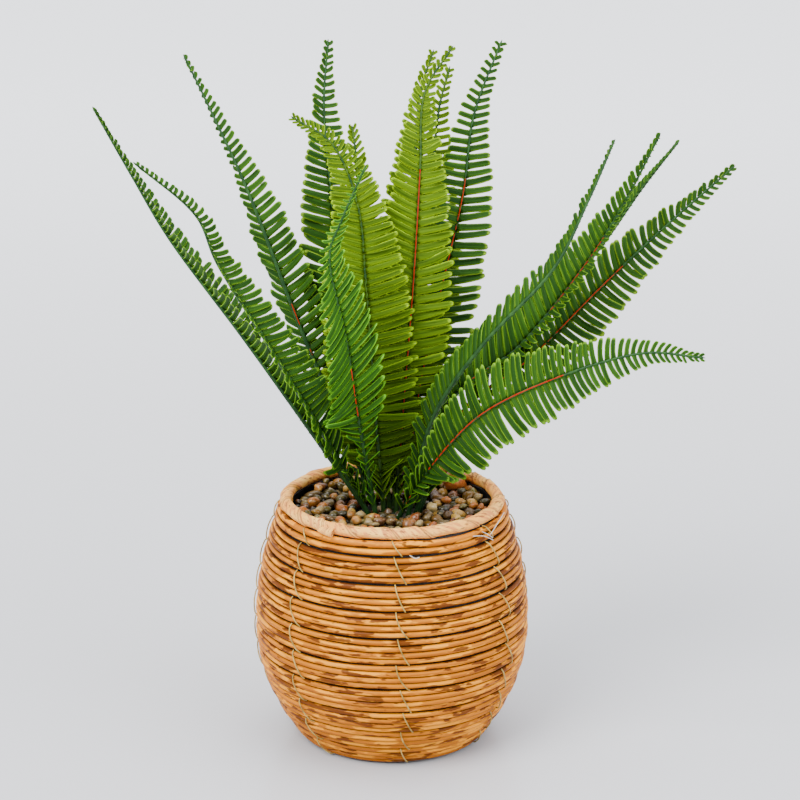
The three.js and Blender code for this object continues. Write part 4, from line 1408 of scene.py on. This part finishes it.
class FilledSpace:
    """The places that leaflets and ribs fill, to keep fronds out of each other."""

    def __init__(self, clearance):
        self.clearance = clearance
        self.cells = {}

    def cell(self, point):
        return tuple(math.floor(value / self.clearance) for value in point)

    def add(self, points, owner):
        for point in points:
            self.cells.setdefault(self.cell(point), []).append((point, owner))

    def taken(self, point, owner):
        """True where a point of another owner is nearer than the clearance."""
        x, y, z = self.cell(point)
        for dx, dy, dz in NEIGHBOURS:
            for other, other_owner in self.cells.get((x + dx, y + dy, z + dz), ()):
                if other_owner != owner and (other - point).length < self.clearance:
                    return True
        return False

    def clear(self, points, owner):
        return not any(inside_rim(point) or self.taken(point, owner) for point in points)


def inside_rim(point):
    """True for a place in the gravel, in the rim or in the wall below it."""
    reach = math.hypot(point.x, point.y)
    if reach < RIM_INSIDE:
        return point.z < GRAVEL_TOP + GRAVEL_ROOM
    top = RIM_HEIGHT + RIM_BAR_RADIUS + LEAF_ROOM
    return point.z < top and reach < RIM_OUTER_RADIUS + LEAF_ROOM


def leaflet_pitch(line, foliage):
    return line.frond.get("pitch", foliage.leaflet_pitch / MM)


class Leaflet:
    """One leaflet of a row, a little unlike its neighbours, before it is fitted in."""

    def __init__(self, line, share, row, foliage, dice):
        self.frond, self.row, self.hand = line.frond, row, 1 if row == 0 else -1
        self.share, self.rib_axes = share, line.axes(share)
        self.tilt = foliage.shingle_tilt
        self.opening = smoothstep(share, FIRST_OPENING, line.frond["opens"][row])
        unruly = 1 + LOW_UNRULINESS * (1 - smoothstep(share, *CALMING))
        self.lean = dice.gauss(0, LEAN_SPREAD) * unruly
        self.comb = dice.gauss(0, COMB_SPREAD) * unruly
        self.roll = dice.gauss(0, ROLL_SPREAD) * unruly
        self.own_size = 1 - dice.uniform(*SIZE_LOSS) * unruly
        curl = line.frond["curl"] / 2 + 0.5 + dice.gauss(0, CURL_SPREAD)
        self.number = min(max(round(curl * (LEAFLET_VARIANTS - 1)), 0), LEAFLET_VARIANTS - 1)
        self.tone = dice.random()
        size = self.size_in_row()
        self.length = foliage.leaflet_length / MM * size
        self.half = foliage.leaflet_width / MM / 2 * lerp(NARROWEST, 1, min(size, 1) ** 0.6)
        narrower = min(leaflet_pitch(line, foliage) / FULL_WIDTH_PITCH, 1) ** 0.5
        self.half *= narrower * line.frond["broad"]
        _, _, side = self.rib_axes
        self.foot = line.place(share) - side * (self.hand * line.radius(share) * FOOT_SINK)

    def size_in_row(self):
        """The length that the place in the row gives, as a share of the longest."""
        size = FOLDED_LENGTH + OPENING_GAIN * self.opening
        size *= 1 - TIP_LOSS * smoothstep(self.share, *NARROWING)
        size *= self.frond["shortened"][self.row]
        size *= lerp(1, self.frond["tapers"][self.row], smoothstep(self.share, *TAPERING))
        return size * lerp(self.frond["lower"][self.row], 1, smoothstep(self.share, *LOW_PART))

    def axes(self, bend):
        """Across the leaflet, along it and out of its upper side."""
        along, up, side = self.rib_axes
        swept = self.frond["swept"][self.row] * smoothstep(self.share, *SWEEPING)
        closing = sum(angle * smoothstep(self.share, start, 1) for angle, start in CLOSING)
        angle = max(FOLDED_ANGLE + OPENING_ANGLE * self.opening - closing + swept, LEAST_ANGLE)
        angle = math.radians(angle + self.comb)
        lift = self.frond["raised"][self.row] + FOLDED_LIFT * (1 - self.opening)
        lift = math.radians(lift + (self.lean + bend))
        out = along * math.cos(angle) + side * (self.hand * math.sin(angle) * math.cos(lift))
        out = (out + up * (math.sin(angle) * math.sin(lift))).normalized()
        across = (along - out * along.dot(out)).normalized() * self.hand
        face = across.cross(out)
        roll = self.tilt + self.frond["rolled"] + FOLDED_ROLL * (1 - self.opening)
        turn = Quaternion(out, math.radians(self.roll + roll) * self.hand)
        across.rotate(turn)
        face.rotate(turn)
        return across, out, face

    def fitted(self, bend, shorter):
        """Foot, length, half width and axes of the leaflet, and points spread over it."""
        length = self.length * (self.own_size * shorter) * self.frond["size"]
        across, out, face = self.axes(bend)
        tests = []
        for reach in TEST_ROWS:
            middle = self.foot + out * (length * reach)
            middle -= face * (length * leaflet_arch(self.number) * reach ** 2)
            middle += across * (self.half * leaflet_drift(self.number, self.hand, reach))
            tests.extend(middle + across * (self.half * edge) for edge in TEST_COLUMNS)
        return self.foot, length, self.half, (across, out, face), tests


def frond_leaflets(name, line, foliage, space):
    """Every leaflet of a frond that has room, bent or shortened where it needs it."""
    dice = random.Random(f"{name}{foliage.seed}")
    pairs = round((line.length - BARE_STEM) / leaflet_pitch(line, foliage))
    found = []
    for pair in range(pairs):
        for row in (0, 1):
            at = (pair + 0.5 + ROW_SHIFT * row) / pairs
            share = lerp(BARE_STEM / line.length, 1, at * (1 + CROWDING * (1 - at)))
            leaflet = Leaflet(line, share, row, foliage, dice)
            for bend, shorter in BENDS:
                *fitted, tests = leaflet.fitted(bend, shorter)
                if space.clear(tests, name):
                    space.add(tests, name)
                    found.append((*fitted, leaflet.number + LEAFLET_VARIANTS * row, leaflet.tone))
                    break
    along, up, side = line.axes(1)
    found.append((
        line.place(TIP_PLACE), TIP_LENGTH, TIP_HALF_WIDTH, (side, along, up),
        LEAFLET_VARIANTS // 2, TIP_TONE,
    ))
    return found


def rib_line(line):
    """Points and radii of the stem and rib, up from the filler to the tip."""
    points = [Vector((*line.frond["root"], height)) for height in STEM_HEIGHTS]
    radii = [RIB_RADII[0]] * len(points)
    count = round(line.length / RIB_SPACING)
    for share in (step / count for step in range(count + 1)):
        points.append(line.place(share))
        radii.append(line.radius(share))
    points.append(points[-1] + (points[-1] - points[-2]).normalized() * RIB_END_LENGTH)
    radii.append(RIB_END_RADIUS)
    return points, radii


def core_lines(line):
    """Short runs of the red core wire where it shows on the rib, sunk in at both ends."""
    for start, end in line.frond["core"]:
        count = max(round((end - start) * line.length / CORE_SPACING), 3)
        points = []
        for step in range(count + 1):
            share = lerp(start, end, step / count)
            _, up, _ = line.axes(share)
            proud = 0.1 + 0.12 * math.sin(step * 2.1) if 0 < step < count else -CORE_END_DEPTH
            points.append(line.place(share) + up * (line.radius(share) - CORE_DEPTH + proud))
        yield points


def frond_mesh(name, line, leaflets):
    """The loose points and the lines that the frond tree turns into a frond."""
    runs = [(*rib_line(line), False)]
    runs += [(points, [CORE_RADIUS] * len(points), True) for points in core_lines(line)]
    points, edges, radii, is_rib, is_core = [], [], [], [], []
    for run_points, run_radii, core in runs:
        first = len(points)
        points.extend(run_points)
        radii.extend(radius * MM for radius in run_radii)
        edges.extend((at, at + 1) for at in range(first, len(points) - 1))
        is_rib.extend([not core] * len(run_points))
        is_core.extend([core] * len(run_points))
    turns = [(1, 0, 0, 0)] * len(points)
    stretches = [(1, 1, 1)] * len(points)
    tones, shapes = [0.0] * len(points), [0] * len(points)
    for foot, length, half, axes, shape, tone in leaflets:
        points.append(foot)
        radii.append(0.0)
        is_rib.append(False)
        is_core.append(False)
        turns.append(Matrix(axes).transposed().to_quaternion())
        stretches.append((half * MM, length * MM, length * MM))
        tones.append(tone)
        shapes.append(shape)
    return mesh_of(f"leafy_frond_{name}", [point * MM for point in points], edges, attributes={
        "radius": ("FLOAT", radii), "is_rib": ("BOOLEAN", is_rib), "is_core": ("BOOLEAN", is_core),
        "turn": ("QUATERNION", turns), "stretch": ("FLOAT_VECTOR", stretches),
        "tone": ("FLOAT", tones), "shape": ("INT", shapes),
    })


# Settings.


def length_property(name, description, default, smallest=0.0):
    return bpy.props.FloatProperty(
        name=name, description=description, default=default, min=smallest,
        subtype="DISTANCE", unit="LENGTH", precision=5,
    )


def colour_property(name, description, default):
    return bpy.props.FloatVectorProperty(
        name=name, description=description, default=(*default, 1), size=4, min=0, max=1,
        subtype="COLOR",
    )


class FernPotSettings(bpy.types.PropertyGroup):
    """Sizes and colours of the cane, the rim and the stitches."""

    course_gap: length_property("Course Gap", "Open space between two courses", 0.00075)
    rod_sway: length_property("Rod Sway", "How far a course wanders up and down", 0.00045)
    rod_wobble: length_property("Rod Wobble", "Small unevenness of a rod's surface", 0.00012)
    rod_sides: bpy.props.IntProperty(
        name="Rod Sides", description="Faces round a rod", default=10, min=6, max=24)
    wire_radius: length_property("Wire Radius", "Half the thickness of a stitch", 0.00036)
    stitch_seed: bpy.props.IntProperty(
        name="Stitch Seed", description="Sews the stitches afresh", default=7)
    cane_colour: colour_property("Cane", "Lacquered cane", (0.60, 0.188, 0.006))
    # Cane Pale also gives the painted highlight on the rods' upper sides, and Cane Warm the painted
    # shade on their undersides.
    cane_pale_and_highlight_colour: colour_property("Cane Pale", "Pale stretches", (1.0, 0.385, 0.012))
    cane_warm_and_shade_colour: colour_property("Cane Warm", "Redder stretches", (0.40, 0.112, 0.005))
    cane_dash_colour: colour_property("Cane Dash", "Scorched dashes", (0.11, 0.026, 0.004))
    # Cane Groove is the painted shade between rods.
    cane_groove_shade_colour: colour_property("Cane Groove", "Grime between rods", (0.05, 0.013, 0.003))
    husk_colour: colour_property("Husk", "Husk strip of the rim", (0.93, 0.40, 0.065))
    husk_pale_colour: colour_property("Husk Pale", "Bleached husk", (1.0, 0.60, 0.15))
    husk_streak_colour: colour_property("Husk Streak", "Pink streaks", (0.62, 0.19, 0.06))
    husk_edge_colour: colour_property("Husk Edge", "Edges of the strips", (0.22, 0.07, 0.025))
    wire_colour: colour_property("Wire", "Stitch wire", (0.24, 0.15, 0.025))
    wire_worn_colour: colour_property("Wire Worn", "Brighter wire", (0.54, 0.38, 0.10))
    wire_silver_colour: colour_property("Wire Ends", "Cut ends of wire", (0.60, 0.56, 0.52))


class FernGravelSettings(bpy.types.PropertyGroup):
    """The pebbles on top of the filler."""

    pebble_count: bpy.props.IntProperty(
        name="Pebbles", description="How many pebbles are dropped", default=1300, min=1)
    smallest: length_property("Smallest", "Smallest pebble", 0.0046)
    largest: length_property("Largest", "Largest pebble", 0.0135)
    seed: bpy.props.IntProperty(name="Seed", description="Lays the pebbles afresh", default=12)
    vein_colour: colour_property("Vein", "Pale veins", (0.50, 0.35, 0.15))
    shade_colour: colour_property("Shade", "Darker mottling", (0.36, 0.31, 0.18))
    # The painted shade down between pebbles.
    deep_shade_colour: colour_property("Deep", "Tint down between pebbles", (0.11, 0.10, 0.07))


class FernFoliageSettings(bpy.types.PropertyGroup):
    """Leaflets, ribs and their colours."""

    leaflet_length: length_property("Leaflet Length", "Longest leaflet", 0.0215)
    leaflet_width: length_property("Leaflet Width", "Widest leaflet", 0.0043)
    leaflet_pitch: length_property("Leaflet Pitch", "Spacing along the rib", 0.0044, 0.002)
    shingle_tilt: bpy.props.FloatProperty(
        name="Shingle Tilt", description="How far leaflets lap like tiles, in degrees",
        default=14, min=-45, max=45)
    clearance: length_property("Clearance", "Least space between two fronds", 0.0014)
    seed: bpy.props.IntProperty(name="Seed", description="Ruffles the leaflets afresh", default=4)
    mid_colour: colour_property("Mid Green", "Most fronds", (0.013, 0.052, 0.006))
    mid_fresh_colour: colour_property("Mid Fresh", "Their lighter leaflets", (0.030, 0.098, 0.007))
    mid_margin_colour: colour_property("Mid Margin", "Their margins", (0.20, 0.42, 0.020))
    dark_colour: colour_property("Dark Green", "Darkest fronds", (0.011, 0.046, 0.006))
    dark_fresh_colour: colour_property("Dark Fresh", "Their lighter leaflets", (0.024, 0.080, 0.007))
    dark_margin_colour: colour_property("Dark Margin", "Their margins", (0.22, 0.38, 0.016))
    bright_colour: colour_property("Bright Green", "Front frond", (0.020, 0.074, 0.008))
    bright_fresh_colour: colour_property("Bright Fresh", "Its lighter leaflets", (0.036, 0.125, 0.008))
    bright_margin_colour: colour_property("Bright Margin", "Its margins", (0.19, 0.54, 0.020))
    light_colour: colour_property("Light Green", "Yellowish fronds", (0.050, 0.102, 0.002))
    light_fresh_colour: colour_property("Light Fresh", "Their lighter leaflets", (0.094, 0.180, 0.002))
    light_margin_colour: colour_property("Light Margin", "Their margins", (0.33, 0.55, 0.004))
    # The painted shade along leaflets and at their feet.
    deep_shade_colour: colour_property("Deep Green", "Streaks along leaflets", (0.006, 0.024, 0.002))
    shadow_colour: colour_property("Shadow", "Tint low among the stems", (0.38, 0.46, 0.34))
    rib_colour: colour_property("Rib", "Rib of a frond", (0.012, 0.048, 0.013))
    rib_pale_colour: colour_property("Rib Pale", "Paler rib", (0.030, 0.095, 0.022))
    rib_olive_colour: colour_property("Rib Olive", "Rib of a yellowish frond", (0.05, 0.11, 0.008))
    core_colour: colour_property("Core", "Wire inside the rib", (0.38, 0.014, 0.001))


class FernStageSettings(bpy.types.PropertyGroup):
    """Floor, light and camera."""

    floor_colour: colour_property("Floor", "Pale floor", (0.60, 0.61, 0.645))
    # The far floor's colour and glow are painted light.
    far_floor_lit_colour: colour_property("Far Floor", "Floor well behind", (0.94, 0.96, 1.0))
    far_glow_colour: colour_property("Far Glow", "Light off the far floor", (0.045, 0.055, 0.085))
    world_strength: bpy.props.FloatProperty(
        name="Room Light", description="Light from all round", default=1.1, min=0)
    light_strength: bpy.props.FloatProperty(
        name="Key Light", description="Strength of the soft lights", default=1, min=0)
    distance: length_property("Distance", "From the camera to the plant", 1.25)
    elevation: bpy.props.FloatProperty(
        name="Elevation", description="Height of the camera's view",
        default=math.radians(16.7), subtype="ANGLE", unit="ROTATION")
    lens: bpy.props.FloatProperty(
        name="Lens", description="Focal length", default=112.5, min=1, unit="CAMERA")


# Operators.


# The two colours of each inner part.
FOOT_WOOD = ((0.20, 0.11, 0.05, 1), (0.34, 0.21, 0.11, 1))
LINER_PLASTIC = ((0.012, 0.011, 0.010, 1), (0.03, 0.027, 0.024, 1))
FILLER_FOAM = ((0.010, 0.012, 0.008, 1), (0.035, 0.034, 0.022, 1))


def paint_node(name, material):
    """Gives a shown CAD node its finish."""
    node = frame["nodes"][name]
    node.data.materials.clear()
    node.data.materials.append(material)


class FERN_OT_inner_parts(bpy.types.Operator):
    """Finish the foot disc, the liner cup and the filler block"""

    bl_idname = "fern.inner_parts"
    bl_label = "Inner Parts"

    def execute(self, context):
        paint_node("foot_disc", wood_finish("foot_wood", *FOOT_WOOD))
        paint_node("liner_cup", speckled_finish(
            "liner_plastic", *LINER_PLASTIC, scale=300, roughness=0.5, depth=0.0002))
        paint_node("filler_block", speckled_finish(
            "filler_foam", *FILLER_FOAM, scale=500, roughness=0.85, depth=0.0006))
        return {"FINISHED"}


class FERN_OT_cane_courses(bpy.types.Operator):
    """Wind the rods of every cane course"""

    bl_idname = "fern.cane_courses"
    bl_label = "Cane Courses"

    def execute(self, context):
        pot = context.scene.fern_pot
        finish = cane_finish(pot)
        for index in range(FULL_COURSES + 1):
            mesh = grown(cane_course_mesh(index, pot), shared_trees()["swept_lines"], {
                "Sides": pot.rod_sides, "Wobble": pot.rod_wobble, "Seed": float(index),
                "Material": finish,
            })
            number = f"{index + 1:02d}"
            add_piece(f"cane_rods_{number}", mesh, [f"cane_course_{number}"])
        return {"FINISHED"}


class FERN_OT_rim(bpy.types.Operator):
    """Bind the rim with husk strip"""

    bl_idname = "fern.rim"
    bl_label = "Husk Rim"

    def execute(self, context):
        mesh = smooth_faces(rim_mesh(), husk_finish(context.scene.fern_pot))
        add_piece("husk_rim", mesh, ["rim_wrap"])
        return {"FINISHED"}


class FERN_OT_stitches(bpy.types.Operator):
    """Stitch the courses together with thin wire"""

    bl_idname = "fern.stitches"
    bl_label = "Wire Stitches"

    def execute(self, context):
        pot = context.scene.fern_pot
        finish = wire_finish(pot)
        dice = random.Random(pot.stitch_seed)
        for index, angle in enumerate(STITCH_ANGLES):
            name = f"wire_line_{index + 1}"
            lines = [
                (rounded(stitch_line(angle, course, dice), 2), pot.wire_radius, 0)
                for course in range(FULL_COURSES + 1)
            ]
            end_radius = pot.wire_radius * WIRE_END_SHARE
            lines += [(rounded(places), end_radius, 1) for places in wire_ends(angle)]
            mesh = grown(
                wire_mesh(name, lines), shared_trees()["swept_lines"],
                {"Sides": WIRE_SIDES, "Material": finish},
            )
            add_piece(name, mesh, [f"stitch_wire_{index + 1}"])
        return {"FINISHED"}


class FERN_OT_pebbles(bpy.types.Operator):
    """Drop pebbles round the stems"""

    bl_idname = "fern.pebbles"
    bl_label = "Pebbles"

    def execute(self, context):
        gravel = context.scene.fern_gravel
        shapes = shape_collection("pebble_shapes", pebble_shapes())
        mesh = grown(pebble_mesh(gravel), shared_trees()["placed_shapes"], {
            "Shapes": shapes, "Material": pebble_finish(gravel),
        })
        clear_shapes(shapes)
        add_piece("pebbles", mesh, ["gravel_bed"])
        return {"FINISHED"}


class FERN_OT_fronds(bpy.types.Operator):
    """Grow every frond along its rib"""

    bl_idname = "fern.fronds"
    bl_label = "Fronds"

    def execute(self, context):
        foliage = context.scene.fern_foliage
        lines = {name: FrondLine(frond) for name, frond in FRONDS.items()}
        space = FilledSpace(foliage.clearance / MM)
        for name, line in lines.items():
            space.add(line.surface(), name)
        shapes = shape_collection("leaflet_shapes", [
            leaflet_shape(number, 1 if number < LEAFLET_VARIANTS else -1)
            for number in range(2 * LEAFLET_VARIANTS)
        ])
        tones = sorted({line.frond["tone"] for line in lines.values()})
        leaf = {tone: leaf_finish(tone, foliage) for tone in tones}
        rib = {tone: rib_finish(tone, foliage) for tone in tones}
        core = core_finish(foliage)
        for name, line in lines.items():
            tone = line.frond["tone"]
            leaflets = frond_leaflets(name, line, foliage, space)
            mesh = grown(frond_mesh(name, line, leaflets), shared_trees()["frond"], {
                "Leaflets": shapes, "Leaf": leaf[tone], "Rib": rib[tone], "Core": core,
            })
            add_piece(f"leafy_frond_{name}", mesh, [f"frond_{name}"])
        clear_shapes(shapes)
        return {"FINISHED"}


# The stage in metres: half the floor's width, how high the camera looks, how near and how far
# it sees. Then its shift as a share of the picture, its sensor's width in millimetres, and the
# colour of the light from all round.
FLOOR_HALF, AIM_HEIGHT, NEAREST, FARTHEST = 9.0, 0.177, 0.05, 60
CAMERA_SHIFT, SENSOR_WIDTH = 0.0099, 36
ROOM_COLOUR = (0.95, 0.97, 1, 1)

# Soft lights: name, where each shines from, strength, spread in degrees and colour.
SOFT_LIGHTS = (
    ("key", (-0.8, -0.9, 1.3), 4.2, 35, (1, 0.985, 0.96)),
    ("fill", (1.1, -0.7, 1.0), 2.0, 50, (0.97, 0.98, 1)),
    ("top", (0.1, 0.4, 1.5), 2.6, 60, (1, 1, 1)),
)


def floor_finish(stage):
    """Pale board with painted light: brighter, a little cooler and glowing far behind the plant."""
    def colour_of(paint):
        far = paint.node("ShaderNodeSeparateXYZ", inputs={"Vector": paint.place()}, output="Y")
        # Painted light: the floor grows paler and glows further back, as if a light shone there.
        far = far.ramped(0.1, 1.9)
        return {
            "Base Color": far.mixed(stage.floor_colour, stage.far_floor_lit_colour),
            "Emission Color": far.mixed((0, 0, 0, 1), stage.far_glow_colour),
        }

    return painted("floor_board", colour_of, **{"Roughness": 0.22, "Emission Strength": 1.0})


def add_soft_light(name, source, strength, spread, colour):
    """A far, wide light that shines from the source's direction on everything alike."""
    light = bpy.data.lights.new(name, "SUN")
    light.energy = strength
    light.angle = math.radians(spread)
    light.color = colour
    thing = bpy.data.objects.new(name, light)
    thing.location = source
    thing.rotation_euler = (-Vector(source)).to_track_quat("-Z", "Y").to_euler()
    bpy.context.scene.collection.objects.link(thing)


class FERN_OT_stage(bpy.types.Operator):
    """Lay the floor, light it softly and set up the camera"""

    bl_idname = "fern.stage"
    bl_label = "Stage"

    def execute(self, context):
        stage = context.scene.fern_stage
        corners = [(-1, -1, 0), (1, -1, 0), (1, 1, 0), (-1, 1, 0)]
        corners = [Vector(corner) * FLOOR_HALF for corner in corners]
        floor_mesh = mesh_of("floor", corners, faces=[(0, 1, 2, 3)])
        floor_mesh.materials.append(floor_finish(stage))
        object_of(floor_mesh)

        world = bpy.data.worlds.new("soft_room")
        world.use_nodes = True
        background = world.node_tree.nodes["Background"]
        background.inputs["Color"].default_value = ROOM_COLOUR
        background.inputs["Strength"].default_value = stage.world_strength
        context.scene.world = world

        for name, source, strength, spread, colour in SOFT_LIGHTS:
            add_soft_light(name, source, strength * stage.light_strength, spread, colour)

        camera = bpy.data.cameras.new("camera")
        camera.lens = stage.lens
        camera.sensor_width = SENSOR_WIDTH
        camera.shift_x = CAMERA_SHIFT
        camera.clip_start, camera.clip_end = NEAREST, FARTHEST
        thing = bpy.data.objects.new("camera", camera)
        aim = Vector((0, 0, AIM_HEIGHT))
        back = Vector((0, -math.cos(stage.elevation), math.sin(stage.elevation)))
        thing.location = aim + back * stage.distance
        thing.rotation_euler = (-back).to_track_quat("-Z", "Y").to_euler()
        context.scene.collection.objects.link(thing)
        context.scene.camera = thing
        return {"FINISHED"}


class FERN_PT_sidebar(bpy.types.Panel):
    """Lists the settings and the steps that dress the fern"""

    bl_label = "Potted Fern"
    bl_idname = "FERN_PT_sidebar"
    bl_space_type = "VIEW_3D"
    bl_region_type = "UI"
    bl_category = "Fern"

    def draw(self, context):
        layout = self.layout
        for operator in OPERATORS:
            layout.operator(operator.bl_idname)
        for name in GROUPS:
            box = layout.box()
            settings = getattr(context.scene, name)
            for key in type(settings).__annotations__:
                box.prop(settings, key)


OPERATORS = (
    FERN_OT_stage, FERN_OT_inner_parts, FERN_OT_cane_courses, FERN_OT_rim, FERN_OT_stitches,
    FERN_OT_pebbles, FERN_OT_fronds,
)
GROUPS = {
    "fern_pot": FernPotSettings, "fern_gravel": FernGravelSettings,
    "fern_foliage": FernFoliageSettings, "fern_stage": FernStageSettings,
}


def register():
    for settings in GROUPS.values():
        bpy.utils.register_class(settings)
    for operator in OPERATORS:
        bpy.utils.register_class(operator)
    bpy.utils.register_class(FERN_PT_sidebar)
    for name, settings in GROUPS.items():
        setattr(bpy.types.Scene, name, bpy.props.PointerProperty(type=settings))


def unregister():
    for name in GROUPS:
        delattr(bpy.types.Scene, name)
    bpy.utils.unregister_class(FERN_PT_sidebar)
    for operator in reversed(OPERATORS):
        bpy.utils.unregister_class(operator)
    for settings in GROUPS.values():
        bpy.utils.unregister_class(settings)


def main():
    register()
    bpy.ops.fern.stage()
    bpy.ops.fern.inner_parts()
    bpy.ops.fern.cane_courses()
    bpy.ops.fern.rim()
    bpy.ops.fern.stitches()
    bpy.ops.fern.pebbles()
    bpy.ops.fern.fronds()


if __name__ == "__main__":
    main()
